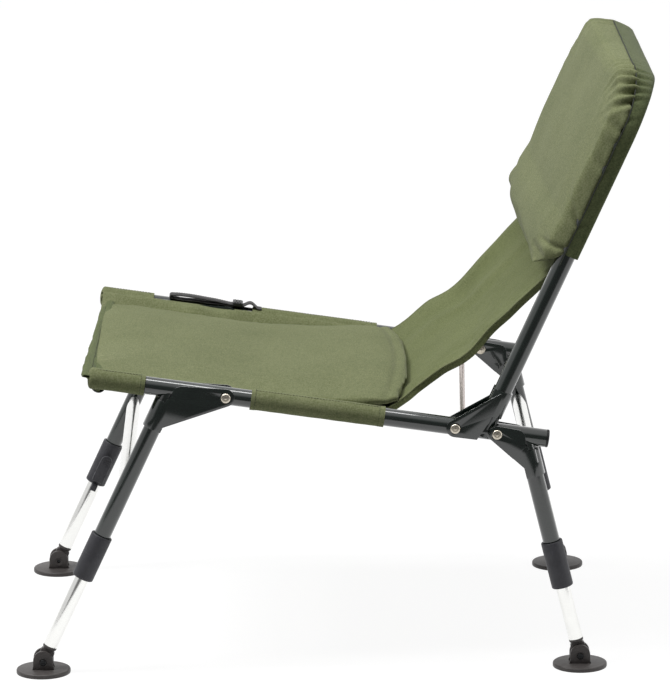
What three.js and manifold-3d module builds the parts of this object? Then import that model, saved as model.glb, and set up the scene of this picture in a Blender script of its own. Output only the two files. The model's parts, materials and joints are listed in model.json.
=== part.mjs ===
// Folding carp fishing chair. Millimetres, +Z up, the sitter faces -Y, and +X is the sitter's left.
import * as THREE from "three";
import { mergeVertices } from "three/addons/utils/BufferGeometryUtils.js";
import Module from "manifold-3d";

const wasm = await Module();
wasm.setup();

const { degToRad, radToDeg } = THREE.MathUtils;

// Clearance between pieces that touch, how far a cut runs past its piece, and how deep joined solids meet
const GAP = 0.3;
const OVERRUN = 5;
const OVERLAP = 0.05;

// Seat frame: lengths along a side rail are measured from the front leg's pivot
const RAIL_SPACING = 540;
const RAIL_DIAMETER = 25;
const TUBE_WALL = 1.5;
const FRONT_PIVOT_HEIGHT = 395;
const SEAT_TILT = degToRad(8.45);
const RAIL_AHEAD = 186;
const RAIL_BEHIND = 449;
const BACK_PIVOT = 321;
const REAR_PIVOT = 379.6;
const CAP_THICKNESS = 3;
const CAP_PLUG = 14;
const FRONT_TUBE_DIAMETER = 20;

// Pivot bolts and sheet brackets
const BOLT_DIAMETER = 8;
const BOLT_HEAD_DIAMETER = 14;
const BOLT_HEAD_THICKNESS = 3.4;
const SHEET = 2;

// Leg pairs. The offset runs from the pivot to the leg's axis, and lengths run down the leg
// from the point on that axis nearest the pivot. The cross bar's share is its place between the
// bracket's end and the clamp
const FRONT_LEG = {
  lean: degToRad(-25.4), offset: -73.2, barShare: 0.562, clampAboveFoot: 132.7, engaged: 52,
  webStart: 41, webEnd: 84,
};
const REAR_LEG = {
  lean: degToRad(13.7), offset: 36.8, barShare: 0.06, clampAboveFoot: 102, engaged: 65,
  webStart: 35, webEnd: 73,
};
const LEG_DIAMETER = 24;
const INNER_DIAMETER = 20;
const CLAMP_DIAMETER = 30.4;
const CLAMP_LENGTH = 67;
const CLAMP_NECK = 16;
const CROSS_BAR_DIAMETER = 20;
const BAR_END_GAP = 10;
const BAR_END_WALL = 6;
const BAR_BOLT_DIAMETER = 6;
const BAR_COLLAR_DIAMETER = 13;
const BAR_BOLT_INTO_LEG = 6;

// Front bracket cheek, from the pivot
const FRONT_CHEEK = {
  nose: 12.4, lowerEdge: degToRad(-64), top: 8.5, shoulder: 67, corner: 10, notch: 12.7, low: 60,
  heel: 12, heelRise: 5,
};

// Rear bracket cheek: it is stepped outwards at the pivot, to pass outside the backrest's bracket
const REAR_CHEEK = {
  nose: 11.4, lowerEdge: degToRad(236), top: 10.4, shoulder: 28, corner: 13, notch: 11, low: 55,
  stepAngle: degToRad(-36.5), stepStart: 34, stepWidth: 7,
};

// Backrest bracket cheek
const BACK_CHEEK = {
  nose: 12.4, upperEdge: degToRad(127), low: 12, lowEnd: 32, rise: 10.5, riseAt: 43, webStart: 36, webEnd: 74,
  top: 57, topLap: 3,
};

// Backrest frame, its spreader rod and its cover
const BACK_LEAN = degToRad(24.82);
const BACK_OFFSET = 39.7;
const BACK_LENGTH = 539;
const BACK_CORNER_RADIUS = 78;
const SPREADER_DIAMETER = 8;
const SPREADER_LEFT = { behind: 12.5, rise: -2.4 };
const SPREADER_RIGHT = { behind: 30, rise: 2.2 };
const COVER_START = 285;
const CLOTH = 1.7;

// Back cushion
const CUSHION_START = 246;
const CUSHION_DEPTH = 58;
const CUSHION_SIDES = 26;

// Seat fabric
const FRONT_SLEEVE_END = -111;
const REAR_SLEEVE_START = 33;
const REAR_SLEEVE_END = 222;
const DECK_END = 198;
const DECK_SAG = 16;
const DECK_LEAVES_SLEEVE = degToRad(50);
const OPEN_EDGE = 18;
const HEM_AHEAD = 13;
const HEM_THICKNESS = 3.4;

// Seat pad
const PAD_RAIL_GAP = 17.5;
const PAD_HALF_WIDTH = (RAIL_SPACING - RAIL_DIAMETER) / 2 - PAD_RAIL_GAP;
const PAD_START = -187;
const PAD_END = 243;
const PAD_BULGE = 20;
const PAD_EDGE_HEIGHT = 7;
const PAD_THICKNESS = 24;
const PAD_REAR_RISE = 22;
const PAD_CROWN = 9;
const PAD_SIDES = 28;

// Lumbar sling
const SLING_THICKNESS = 2.4;
const SLING_HALF_WIDTH = 252;
const SLING_WAVE = 3;
const SLING_SAG = 24;
const SLING_STATIONS = 22;
const SLING_STRIPS = 12;

// Carry strap on top of the right rail
const STRAP_WIDTH = 19;
const STRAP_THICKNESS = 1.6;
const STRAP_END = 31;
const STRAP_LOOP = 20;
const STRAP_LOOP_RISE = 4;
const STRAP_LENGTH = 88;
const STRAP_ROLL_DIAMETER = 5.4;
const STRAP_ROLL_LENGTH = 23;

// Clamp lever, its ears, and the stop block under it
const LEVER_LENGTH = 43;
const LEVER_TAIL = 4;
const LEVER_WIDTH = 17;
const LEVER_THICKNESS = 4.6;
const LEVER_CAM_RADIUS = 5;
const LEVER_PIN_DIAMETER = 4;
const LEVER_AXIS_CLEAR = 6.5;
const LEVER_ABOVE_END = 13;
const EAR_RADIUS = 5.6;
const EAR_THICKNESS = 3.6;
const EAR_SPACING = 8.6;
const EAR_ROOT_SHARE = 0.7;
const STOP_BLOCK = { width: 9, depth: 8, length: 9, lap: 1 };

// Feet
const FOOT_DIAMETER = 76;
const FOOT_THICKNESS = 6;
const FOOT_BEVEL = 1.5;
const FOOT_PIVOT_HEIGHT = 17;
const ANKLE_CHEEK = { width: 28, thickness: 6, arcRise: 2 };
const TONGUE = { thickness: 10.4, radius: 10 };
const TUBE_END_ABOVE_PIVOT = 24;
const SHOULDER_THICKNESS = 4;
const PLUG_LENGTH = 20;
const FOOT_SCREW = { diameter: 5, headDiameter: 9, headThickness: 2.4 };

// Faces round a tube and round a small piece, and steps along each curve of an outline
const ROUND = 16;
const SMALL_ROUND = 10;
const NUT_SIDES = 6;
const CURVE_STEPS = 5;

const halfSpacing = RAIL_SPACING / 2;
const railRadius = RAIL_DIAMETER / 2;
const legRadius = LEG_DIAMETER / 2;
const innerRadius = INNER_DIAMETER / 2;
const clampRadius = CLAMP_DIAMETER / 2;
const cheekInside = railRadius + GAP;
const cheekOutside = cheekInside + SHEET;
const wideInside = cheekOutside + GAP;
const wideOutside = wideInside + SHEET;
const sleeveInside = railRadius + GAP;
const sleeveOutside = sleeveInside + CLOTH;

// Materials
const finish = (color, roughness, metalness) =>
  new THREE.MeshStandardMaterial({ color, roughness, metalness });
const paint = finish(0x1e2a26, 0.25, 0.4);
const aluminium = finish(0xdcdcda, 0.3, 0.9);
const steel = finish(0xc8c4ba, 0.3, 1);
const darkSteel = finish(0x1a1b1b, 0.4, 0.5);
const capPlastic = finish(0x18191a, 0.5, 0);
const clampPlastic = finish(0x3c3b3d, 0.65, 0);
const footPlastic = finish(0x45403f, 0.6, 0);
const fabric = finish(0x7d8461, 0.9, 0);
const webbing = finish(0x262425, 0.9, 0);

// A closed solid from a three.js geometry
function solid(geometry) {
  const bare = geometry.index ? geometry.toNonIndexed() : geometry.clone();
  bare.deleteAttribute("normal");
  bare.deleteAttribute("uv");
  const merged = mergeVertices(bare, OVERLAP * GAP * GAP);
  const corners = merged.index.array;
  const triangles = [];
  for (let i = 0; i < corners.length; i += 3) {
    const [a, b, c] = corners.slice(i, i + 3);
    if (a !== b && b !== c && c !== a) triangles.push(a, b, c);
  }
  return new wasm.Manifold(new wasm.Mesh({
    numProp: 3,
    vertProperties: new Float32Array(merged.attributes.position.array),
    triVerts: new Uint32Array(triangles),
  }));
}

function geometryOf(body) {
  const result = body.getMesh();
  const geometry = new THREE.BufferGeometry();
  geometry.setAttribute("position", new THREE.BufferAttribute(result.vertProperties, result.numProp));
  geometry.setIndex(new THREE.BufferAttribute(result.triVerts, 1));
  geometry.computeVertexNormals();
  return geometry;
}

const join = (...bodies) => bodies.reduce((whole, next) => whole.add(next));
const cut = (body, ...tools) => tools.reduce((left, tool) => left.subtract(tool), body);
const block = (x, y, z) => solid(new THREE.BoxGeometry(x, y, z));

// A round bar along X, Y or Z, centred on its own middle, and the same as a pipe
function bar(radius, length, axis, sides = ROUND) {
  const geometry = new THREE.CylinderGeometry(radius, radius, length, sides);
  if (axis === "x") geometry.rotateZ(Math.PI / 2);
  if (axis === "z") geometry.rotateX(Math.PI / 2);
  return solid(geometry);
}
const pipe = (outer, inner, length, axis) =>
  cut(bar(outer, length, axis), bar(inner, length + OVERRUN, axis));

// A profile in X and Y, extruded along Z from zero
const column = (outline, height, curveSegments = CURVE_STEPS) =>
  solid(new THREE.ExtrudeGeometry(outline, { depth: height, bevelEnabled: false, curveSegments }));

// A flat plate: its outline lies in Y and Z, and its thickness runs along X from zero
const YZX = new THREE.Matrix4().set(0, 0, 1, 0, 1, 0, 0, 0, 0, 1, 0, 0, 0, 0, 0, 1);
const plate = (outline, thickness) => column(outline, thickness).transform(YZX.elements);

// A profile in X and Z, extruded along -Y from zero
const XZY = new THREE.Matrix4().set(1, 0, 0, 0, 0, 0, -1, 0, 0, 1, 0, 0, 0, 0, 0, 1);

// A turned piece about X or Z, from pairs of radius and place
function turned(profile, axis, sides = ROUND) {
  const points = profile.map(([radius, at]) => new THREE.Vector2(radius, at));
  const geometry = new THREE.LatheGeometry(points, sides);
  return solid(axis === "x" ? geometry.rotateZ(-Math.PI / 2) : geometry.rotateX(Math.PI / 2));
}

// A closed skin through rings of points, each ring with as many points as the next
function loft(rings) {
  const count = rings[0].length;
  const centre = (ring) =>
    ring.reduce((sum, point) => sum.add(point), new THREE.Vector3()).divideScalar(count);
  const points = [...rings.flat(), centre(rings[0]), centre(rings.at(-1))];
  const startPole = points.length - 2;
  const endPole = points.length - 1;
  const lastRing = (rings.length - 1) * count;
  const faces = [];
  for (let i = 0; i < count; i += 1) {
    const next = (i + 1) % count;
    faces.push(startPole, next, i, endPole, lastRing + i, lastRing + next);
    for (let low = 0; low < lastRing; low += count) {
      const high = low + count;
      faces.push(low + i, low + next, high + next, low + i, high + next, high + i);
    }
  }
  const geometry = new THREE.BufferGeometry().setFromPoints(points);
  geometry.setIndex(faces);
  return solid(geometry);
}

// Reads a table of places and values, in rising places, by straight lines between them
function read(table, place) {
  const found = table.findIndex(([at], i) => i > 0 && at >= place);
  const after = found < 0 ? table.length - 1 : found;
  const [[from, start], [to, end]] = [table[after - 1], table[after]];
  return start + (end - start) * THREE.MathUtils.clamp((place - from) / (to - from), 0, 1);
}

// A point on a round-cornered section: its shares of the half width and the half height
function cornerShares(angle, power) {
  const round = (value) => Math.sign(value) * Math.abs(value) ** power;
  return [round(Math.cos(angle)), round(Math.sin(angle))];
}

// Frames: each is a group whose origin is a pivot
const chair = new THREE.Group();
function frameAt(y, z, angle) {
  const group = new THREE.Group();
  group.position.set(0, y, z);
  group.rotation.x = angle;
  group.updateMatrix();
  chair.add(group);
  return group;
}
const seat = frameAt(0, FRONT_PIVOT_HEIGHT, -SEAT_TILT);
const onRail = (along) => new THREE.Vector3(0, along, 0).applyMatrix4(seat.matrix);
const backrest = frameAt(onRail(BACK_PIVOT).y, onRail(BACK_PIVOT).z, -BACK_LEAN);
const frontLegs = frameAt(0, FRONT_PIVOT_HEIGHT, FRONT_LEG.lean);
const rearLegs = frameAt(onRail(REAR_PIVOT).y, onRail(REAR_PIVOT).z, REAR_LEG.lean);
const between = (from, to) => to.matrix.clone().invert().multiply(from.matrix);
const moved = (body, from, to) => body.transform(between(from, to).elements);

function add(name, body, group, material) {
  const mesh = new THREE.Mesh(geometryOf(body), material);
  mesh.name = name;
  group.add(mesh);
}

// Pieces are made for the left side about the rail's own plane, and mirrored for the right
const SIDES = { left: 1, right: -1 };
const onSide = (body, side) =>
  (side > 0 ? body : body.mirror([1, 0, 0])).translate([side * halfSpacing, 0, 0]);
const bothSides = (body) => join(...Object.values(SIDES).map((side) => onSide(body, side)));
function addPair(name, body, group, material) {
  for (const [word, side] of Object.entries(SIDES)) {
    add(`${word}_${name}`, onSide(body, side), group, material);
  }
}

// Side rails with their bolt holes, and the caps in their rear ends
const railLength = RAIL_AHEAD + RAIL_BEHIND;
const railMiddle = (RAIL_BEHIND - RAIL_AHEAD) / 2;
const boltHole = (along, outside) =>
  bar(BOLT_DIAMETER / 2 + GAP, 2 * (outside + OVERRUN), "x", SMALL_ROUND).translate([0, along, 0]);
const rail = cut(
  pipe(railRadius, railRadius - TUBE_WALL, railLength, "y").translate([0, railMiddle, 0]),
  ...[0, BACK_PIVOT, REAR_PIVOT].map((along) => boltHole(along, railRadius)));
addPair("side_rail", rail, seat, paint);

const capPlug = bar(railRadius - TUBE_WALL - GAP, CAP_PLUG + GAP + OVERLAP, "y")
  .translate([0, RAIL_BEHIND + (GAP + OVERLAP - CAP_PLUG) / 2, 0]);
const capDisc = bar(railRadius, CAP_THICKNESS, "y").translate([0, RAIL_BEHIND + GAP + CAP_THICKNESS / 2, 0]);
addPair("rail_cap", capPlug.add(capDisc), seat, capPlastic);

// Front cross tube, set low between the rails and saddled to them
const railCutter = bar(railRadius + GAP, railLength + OVERRUN, "y").translate([0, railMiddle, 0]);
const frontTubeRadius = FRONT_TUBE_DIAMETER / 2;
const frontTubeAt = frontTubeRadius - RAIL_AHEAD;
const frontTubeHeight = -frontTubeRadius;
const atFrontTube = (body) => body.translate([0, frontTubeAt, frontTubeHeight]);
const frontTube = atFrontTube(pipe(frontTubeRadius, frontTubeRadius - TUBE_WALL, RAIL_SPACING, "x"));
add("front_cross_tube", cut(frontTube, bothSides(railCutter)), seat, paint);

// Pivot bolts: a domed head outside, the shank through both cheeks, and the nut inside
const headRadius = BOLT_HEAD_DIAMETER / 2;
const HEAD_DOME_SHARES = [[1, 0], [1, 0.45], [0.72, 0.88], [0, 1]];
function pivotBolt(along, outside) {
  const seatAt = outside + GAP;
  const dome = HEAD_DOME_SHARES.map(([r, x]) => [headRadius * r, seatAt + BOLT_HEAD_THICKNESS * x]);
  const head = turned([[0, seatAt], ...dome], "x");
  const shank = bar(BOLT_DIAMETER / 2, 2 * (seatAt + OVERLAP), "x", SMALL_ROUND);
  const nut = bar(headRadius, BOLT_HEAD_THICKNESS, "x", NUT_SIDES)
    .translate([-seatAt - BOLT_HEAD_THICKNESS / 2, 0, 0]);
  return join(head, shank, nut).translate([0, along, 0]);
}
addPair("front_pivot_bolt", pivotBolt(0, cheekOutside), seat, steel);
addPair("backrest_pivot_bolt", pivotBolt(BACK_PIVOT, cheekOutside), seat, steel);
addPair("rear_pivot_bolt", pivotBolt(REAR_PIVOT, wideOutside), seat, steel);

// Where a carried tube's axis crosses a height over the rail's centre line
const frontSlant = -FRONT_LEG.lean - SEAT_TILT;
const rearSlant = REAR_LEG.lean + SEAT_TILT;
const backSlant = BACK_LEAN - SEAT_TILT;
const frontAxis = (height) => FRONT_LEG.offset / Math.cos(frontSlant) + height * Math.tan(frontSlant);
const rearAxis = (height) =>
  REAR_PIVOT + REAR_LEG.offset / Math.cos(rearSlant) - height * Math.tan(rearSlant);
const backAxis = (height) => BACK_PIVOT + BACK_OFFSET / Math.cos(backSlant) + height * Math.tan(backSlant);

// The web of a bracket: a half-round channel on the far side of its tube, from start to end down the tube
function channel(radius, offset, start, end) {
  const shape = new THREE.Shape();
  shape.moveTo(cheekOutside, -radius);
  shape.absarc(0, 0, cheekOutside, 0, Math.PI, false);
  shape.lineTo(-cheekOutside, -radius);
  shape.lineTo(-radius - GAP, -radius);
  shape.absarc(0, 0, radius + GAP, Math.PI, 0, true);
  shape.lineTo(radius + GAP, -radius);
  const web = column(shape, end - start);
  return (offset > 0 ? web : web.mirror([0, 1, 0])).translate([0, offset, -end]);
}
const twoCheeks = (cheek) => cheek.add(cheek.mirror([1, 0, 0]));

// Front leg brackets
function frontCheek() {
  const { nose, lowerEdge, top, shoulder, corner, notch, low, heel, heelRise } = FRONT_CHEEK;
  const shape = new THREE.Shape();
  shape.absarc(0, 0, nose, lowerEdge, Math.PI / 2, false);
  shape.lineTo(corner - shoulder, top);
  shape.quadraticCurveTo(-shoulder, top, -shoulder - corner / 2, top - corner / 2);
  shape.lineTo(-shoulder - corner, -notch);
  shape.lineTo(frontAxis(-notch), -notch);
  shape.lineTo(frontAxis(-low), -low);
  shape.lineTo(frontAxis(-low) + heel, heelRise - low);
  return plate(shape, SHEET).translate([cheekInside, 0, 0]);
}
const frontWeb = channel(legRadius, FRONT_LEG.offset, FRONT_LEG.webStart, FRONT_LEG.webEnd);
const frontBracket = twoCheeks(frontCheek()).add(moved(frontWeb, frontLegs, seat));
addPair("front_leg_bracket", cut(frontBracket, boltHole(0, cheekOutside)), seat, paint);

// Rear leg brackets
function rearCheek() {
  const { nose, lowerEdge, top, shoulder, corner, notch, low, stepAngle, stepStart, stepWidth } = REAR_CHEEK;
  const shape = new THREE.Shape();
  shape.absarc(REAR_PIVOT, 0, nose, Math.PI / 2, lowerEdge, false);
  shape.lineTo(rearAxis(-low), -low);
  shape.lineTo(rearAxis(-notch), -notch);
  shape.lineTo(REAR_PIVOT + shoulder + corner, -notch);
  shape.quadraticCurveTo(REAR_PIVOT + shoulder + corner, top, REAR_PIVOT + shoulder, top);
  const whole = plate(shape, wideOutside - cheekInside).translate([cheekInside, 0, 0]);
  const reach = 2 * (low + shoulder + corner);
  const beyond = (start, side, from, to) => block(to - from, reach, reach)
    .translate([(from + to) / 2, side * reach / 2 + start, 0])
    .rotate([radToDeg(stepAngle), 0, 0])
    .translate([0, REAR_PIVOT, 0]);
  return cut(whole,
    beyond(stepStart, -1, cheekInside - OVERRUN, wideInside),
    beyond(stepStart + stepWidth, 1, cheekOutside, wideOutside + OVERRUN));
}
const rearWeb = channel(legRadius, REAR_LEG.offset, REAR_LEG.webStart, REAR_LEG.webEnd);
const rearBracket = twoCheeks(rearCheek()).add(moved(rearWeb, rearLegs, seat));
addPair("rear_leg_bracket", cut(rearBracket, boltHole(REAR_PIVOT, wideOutside)), seat, paint);

// Backrest brackets
function backCheek() {
  const { nose, upperEdge, low, lowEnd, rise, riseAt, top, topLap } = BACK_CHEEK;
  const shape = new THREE.Shape();
  shape.absarc(BACK_PIVOT, 0, nose, upperEdge, Math.PI * 3 / 2, false);
  shape.lineTo(BACK_PIVOT + lowEnd, -low);
  shape.lineTo(BACK_PIVOT + riseAt, rise);
  shape.lineTo(backAxis(rise + topLap), rise + topLap);
  shape.lineTo(backAxis(top), top);
  shape.lineTo(backAxis(top) - topLap, top);
  return plate(shape, SHEET).translate([cheekInside, 0, 0]);
}
const backWeb = channel(railRadius, BACK_OFFSET, -BACK_CHEEK.webEnd, -BACK_CHEEK.webStart);
const backBracket = twoCheeks(backCheek()).add(moved(backWeb, backrest, seat));
addPair("backrest_bracket", cut(backBracket, boltHole(BACK_PIVOT, cheekOutside)), seat, paint);

// Spreader rod between the backrest brackets, set a little askew
const rodEnd = halfSpacing - cheekOutside - GAP;
const rodPath = new THREE.LineCurve3(
  new THREE.Vector3(rodEnd, BACK_PIVOT + SPREADER_LEFT.behind, SPREADER_LEFT.rise),
  new THREE.Vector3(-rodEnd, BACK_PIVOT + SPREADER_RIGHT.behind, SPREADER_RIGHT.rise));
const rodSection = new THREE.Shape().absarc(0, 0, SPREADER_DIAMETER / 2, 0, 2 * Math.PI, false);
add("spreader_rod", solid(new THREE.ExtrudeGeometry(rodSection, {
  extrudePath: rodPath, steps: 1, curveSegments: CURVE_STEPS, bevelEnabled: false,
})), seat, steel);

// Backrest frame: one tube bent over the top, with its feet saddled on the rails
function bentTube(radius, overrun) {
  const top = BACK_LENGTH - BACK_CORNER_RADIUS;
  const side = halfSpacing - BACK_CORNER_RADIUS;
  const foot = BACK_OFFSET * Math.tan(backSlant) - overrun;
  const upright = bar(radius, top - foot + OVERLAP, "z")
    .translate([halfSpacing, 0, (top + foot + OVERLAP) / 2]);
  const across = bar(radius, 2 * (side + OVERLAP), "x").translate([0, 0, BACK_LENGTH]);
  const ring = new THREE.TorusGeometry(BACK_CORNER_RADIUS, radius, ROUND, 2 * ROUND).rotateX(Math.PI / 2);
  const reach = BACK_CORNER_RADIUS + RAIL_DIAMETER;
  const corner = solid(ring).intersect(block(reach, reach, reach).translate([reach / 2, 0, reach / 2]))
    .translate([side, 0, top]);
  const half = upright.add(corner);
  return join(across, half, half.mirror([1, 0, 0])).translate([0, BACK_OFFSET, 0]);
}
const backTube = bentTube(railRadius, 0).subtract(bentTube(railRadius - TUBE_WALL, OVERRUN));
add("backrest_frame", cut(backTube, moved(bothSides(railCutter), seat, backrest)), backrest, paint);

// Backrest cover: the cloth round the back and the sides of the frame, open in front and below
function coverOutline(grown) {
  const half = halfSpacing + railRadius + grown;
  const top = BACK_LENGTH + railRadius + grown;
  const corner = BACK_CORNER_RADIUS + railRadius + grown;
  const shape = new THREE.Shape();
  shape.moveTo(half, COVER_START);
  shape.absarc(half - corner, top - corner, corner, 0, Math.PI / 2, false);
  shape.absarc(corner - half, top - corner, corner, Math.PI / 2, Math.PI, false);
  shape.lineTo(-half, COVER_START);
  return column(shape, railRadius + grown, 2 * CURVE_STEPS).transform(XZY.elements);
}
const coverOuter = coverOutline(GAP + CLOTH).translate([0, BACK_OFFSET + railRadius + GAP + CLOTH, 0]);
const coverHollow = coverOutline(GAP).translate([0, BACK_OFFSET + railRadius + GAP, 0]);
const coverMouth = coverHollow.translate([0, -OVERRUN, 0]);
const coverFoot = coverHollow.add(coverMouth).translate([0, 0, -OVERRUN]);
add("backrest_cover", cut(coverOuter, coverHollow, coverMouth, coverFoot), backrest, fabric);

// Back cushion: sections up the frame, as shares of its length, its depth and its half width
const cushionLength = BACK_LENGTH + railRadius - CUSHION_START;
const cushionHalfWidth = halfSpacing + railRadius;
const CUSHION_FRONT_SHARES = [
  [0, 0.86], [0.03, 0.98], [0.08, 1], [0.13, 0.8], [0.18, 0.72], [0.28, 0.82], [0.37, 0.87], [0.48, 0.8],
  [0.6, 0.76], [0.85, 0.72], [0.94, 0.62], [0.985, 0.42], [1, 0.22],
];
const CUSHION_BACK_SHARES = [
  [0, 0.8], [0.03, 0.62], [0.09, 0.4], [0.13, 0.2], [0.15, 0], [0.88, 0], [0.93, 0.2], [1, 0.2],
];
const CUSHION_WIDTH_SHARES = [
  [0, 0.86], [0.03, 0.95], [0.08, 0.985], [0.16, 1], [0.5, 0.99], [0.7, 0.998], [0.8, 0.975], [0.85, 0.95],
  [0.9, 0.91], [0.94, 0.865], [0.97, 0.81], [0.99, 0.755], [1, 0.68],
];
const CUSHION_PLACE_SHARES = [
  0, 0.015, 0.04, 0.08, 0.11, 0.13, 0.15, 0.19, 0.28, 0.37, 0.48, 0.6, 0.7, 0.8, 0.85, 0.9, 0.94, 0.97,
  0.99, 1,
];
const CUSHION_CORNER_SHARE = 0.62;
const cushionRings = CUSHION_PLACE_SHARES.map((share) => {
  const back = (CUSHION_DEPTH + railRadius) * read(CUSHION_BACK_SHARES, share) - railRadius;
  const front = CUSHION_DEPTH * read(CUSHION_FRONT_SHARES, share);
  const half = cushionHalfWidth * read(CUSHION_WIDTH_SHARES, share);
  return Array.from({ length: CUSHION_SIDES }, (_, i) => {
    const [across, through] = cornerShares(-2 * Math.PI * i / CUSHION_SIDES, CUSHION_CORNER_SHARE);
    const forward = (front + back + (front - back) * through) / 2;
    return new THREE.Vector3(half * across, BACK_OFFSET - forward, CUSHION_START + cushionLength * share);
  });
});
add("backrest_cushion", cut(loft(cushionRings), bentTube(railRadius + GAP, OVERRUN)), backrest, fabric);

// Seat fabric: a sagging deck, sleeves round the rails and the front tube, and the hem ahead of them
const DECK_FOOT_SHARE = 0.7;
const deckLeave = halfSpacing - sleeveOutside * Math.sin(DECK_LEAVES_SLEEVE);
const deckLeaveHeight = sleeveOutside * Math.cos(DECK_LEAVES_SLEEVE);
const deckFoot = deckLeave - 2 * OPEN_EDGE;
const deckFootHeight = -DECK_SAG * DECK_FOOT_SHARE;
function deckTop() {
  const shape = new THREE.Shape();
  shape.moveTo(deckLeave, deckLeaveHeight);
  shape.quadraticCurveTo(deckLeave - OPEN_EDGE / 2, 0, deckFoot, deckFootHeight);
  shape.quadraticCurveTo(0, -DECK_SAG, -deckFoot, deckFootHeight);
  shape.quadraticCurveTo(OPEN_EDGE / 2 - deckLeave, 0, -deckLeave, deckLeaveHeight);
  return shape;
}
const alongRail = (shape, from, to) => column(shape, to - from).transform(XZY.elements).translate([0, to, 0]);
function deckBetween(from, to) {
  const shape = deckTop();
  shape.lineTo(-deckLeave - CLOTH, deckLeaveHeight);
  shape.quadraticCurveTo(OPEN_EDGE / 2 - deckLeave, -CLOTH, -deckFoot, deckFootHeight - CLOTH);
  shape.quadraticCurveTo(0, -DECK_SAG - CLOTH, deckFoot, deckFootHeight - CLOTH);
  shape.quadraticCurveTo(deckLeave - OPEN_EDGE / 2, -CLOTH, deckLeave + CLOTH, deckLeaveHeight);
  return alongRail(shape, from, to);
}
function underDeck(from, to) {
  const shape = deckTop();
  shape.lineTo(-deckLeave, -2 * DECK_SAG);
  shape.lineTo(deckLeave, -2 * DECK_SAG);
  return alongRail(shape, from, to);
}
const frontSleeveOutside = frontTubeRadius + GAP + CLOTH;
const sleeve = (from, to) =>
  pipe(sleeveOutside, sleeveInside, to - from, "y").translate([0, (from + to) / 2, 0]);
const hemDepth = HEM_AHEAD + frontSleeveOutside / 2;
const hemWidth = RAIL_SPACING + 2 * sleeveOutside;
const hem = (clear) => block(hemWidth, hemDepth + 2 * clear, HEM_THICKNESS + 2 * clear)
  .translate([0, frontTubeAt - frontSleeveOutside - HEM_AHEAD + hemDepth / 2, 0]);
const openLength = REAR_SLEEVE_START - FRONT_SLEEVE_END;
const openSide = block(RAIL_DIAMETER + 2 * OPEN_EDGE, openLength, 2 * RAIL_DIAMETER)
  .translate([0, FRONT_SLEEVE_END + openLength / 2, 0]);
const railSleeves = sleeve(-RAIL_AHEAD, FRONT_SLEEVE_END).add(sleeve(REAR_SLEEVE_START, REAR_SLEEVE_END));
const frontSleeve = atFrontTube(bar(frontSleeveOutside, RAIL_SPACING, "x"));
const frontTubeCutter = atFrontTube(bar(frontTubeRadius + GAP, RAIL_SPACING + OVERRUN, "x"));
const seatFabric = cut(
  join(deckBetween(frontTubeAt, DECK_END), bothSides(railSleeves), frontSleeve, hem(0)),
  bothSides(railCutter), bothSides(openSide), frontTubeCutter);
add("seat_sling", seatFabric, seat, fabric);

// Seat pad: sections along the rail, as shares of its length, width, thickness and rise
const padLength = PAD_END - PAD_START;
const PAD_WIDTH_SHARES = [
  [0, 0.93], [0.02, 0.99], [0.05, 1], [0.5, 0.99], [0.9, 1], [0.97, 0.985], [1, 0.94],
];
const PAD_RISE_SHARES = [[0, 0], [0.6, 0], [0.75, 0.28], [0.88, 0.62], [1, 1]];
const PAD_FULL_SHARES = [[0, 0.2], [0.03, 0.55], [0.1, 0.85], [0.3, 1], [0.86, 1], [0.97, 0.6], [1, 0.3]];
const PAD_PLACE_SHARES = [
  0, 0.015, 0.035, 0.07, 0.12, 0.2, 0.3, 0.45, 0.6, 0.68, 0.75, 0.82, 0.88, 0.93, 0.97, 0.99, 1,
];
const PAD_CORNER_SHARE = 0.5;
const padRings = PAD_PLACE_SHARES.map((share) => {
  const half = PAD_HALF_WIDTH * read(PAD_WIDTH_SHARES, share);
  const full = read(PAD_FULL_SHARES, share);
  const top = PAD_EDGE_HEIGHT + PAD_REAR_RISE * read(PAD_RISE_SHARES, share);
  const bulge = PAD_BULGE * Math.max(0, 2 * share - 1) ** 2;
  return Array.from({ length: PAD_SIDES }, (_, i) => {
    const [across, up] = cornerShares(-2 * Math.PI * i / PAD_SIDES, PAD_CORNER_SHARE);
    const middle = 1 - across ** 2;
    const crown = PAD_CROWN * middle * Math.max(0, up);
    const height = top + full * (crown - PAD_THICKNESS * (1 - up) / 2);
    return new THREE.Vector3(half * across, PAD_START + padLength * share + bulge * middle, height);
  });
});
const padSeat = join(
  underDeck(frontTubeAt - GAP, DECK_END + GAP).translate([0, 0, GAP]),
  hem(GAP),
  atFrontTube(bar(frontSleeveOutside + GAP, RAIL_SPACING, "x")));
add("seat_pad", cut(loft(padRings), padSeat), seat, fabric);

// Lumbar sling: from the rear edge of the deck up to the hem of the cover, sagging back in the middle
const slingFoot = new THREE.Vector3(0, DECK_END + GAP + SLING_THICKNESS / 4, deckFootHeight - CLOTH / 2);
const slingHead = new THREE.Vector3(0, BACK_OFFSET + railRadius + GAP + CLOTH / 2, COVER_START - GAP)
  .applyMatrix4(between(backrest, seat));
const SLING_PATH_SHARES = [
  [0.91, 0, 0], [0.915, 0.062, 0.022], [0.91, 0.121, 0.067], [0.87, 0.176, 0.107], [0.82, 0.251, 0.181],
  [0.85, 0.361, 0.289], [0.835, 0.487, 0.381], [0.82, 0.593, 0.515], [0.93, 0.727, 0.692],
  [0.99, 0.861, 0.859], [1, 0.916, 0.932], [1, 0.965, 0.972], [1, 1, 1],
];
const slingPath = new THREE.CatmullRomCurve3(SLING_PATH_SHARES.map(([width, along, up]) => new THREE.Vector3(
  SLING_HALF_WIDTH * width,
  THREE.MathUtils.lerp(slingFoot.y, slingHead.y, along),
  THREE.MathUtils.lerp(slingFoot.z, slingHead.z, up),
)));
const SLING_FOLDS = 2.5;
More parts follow.
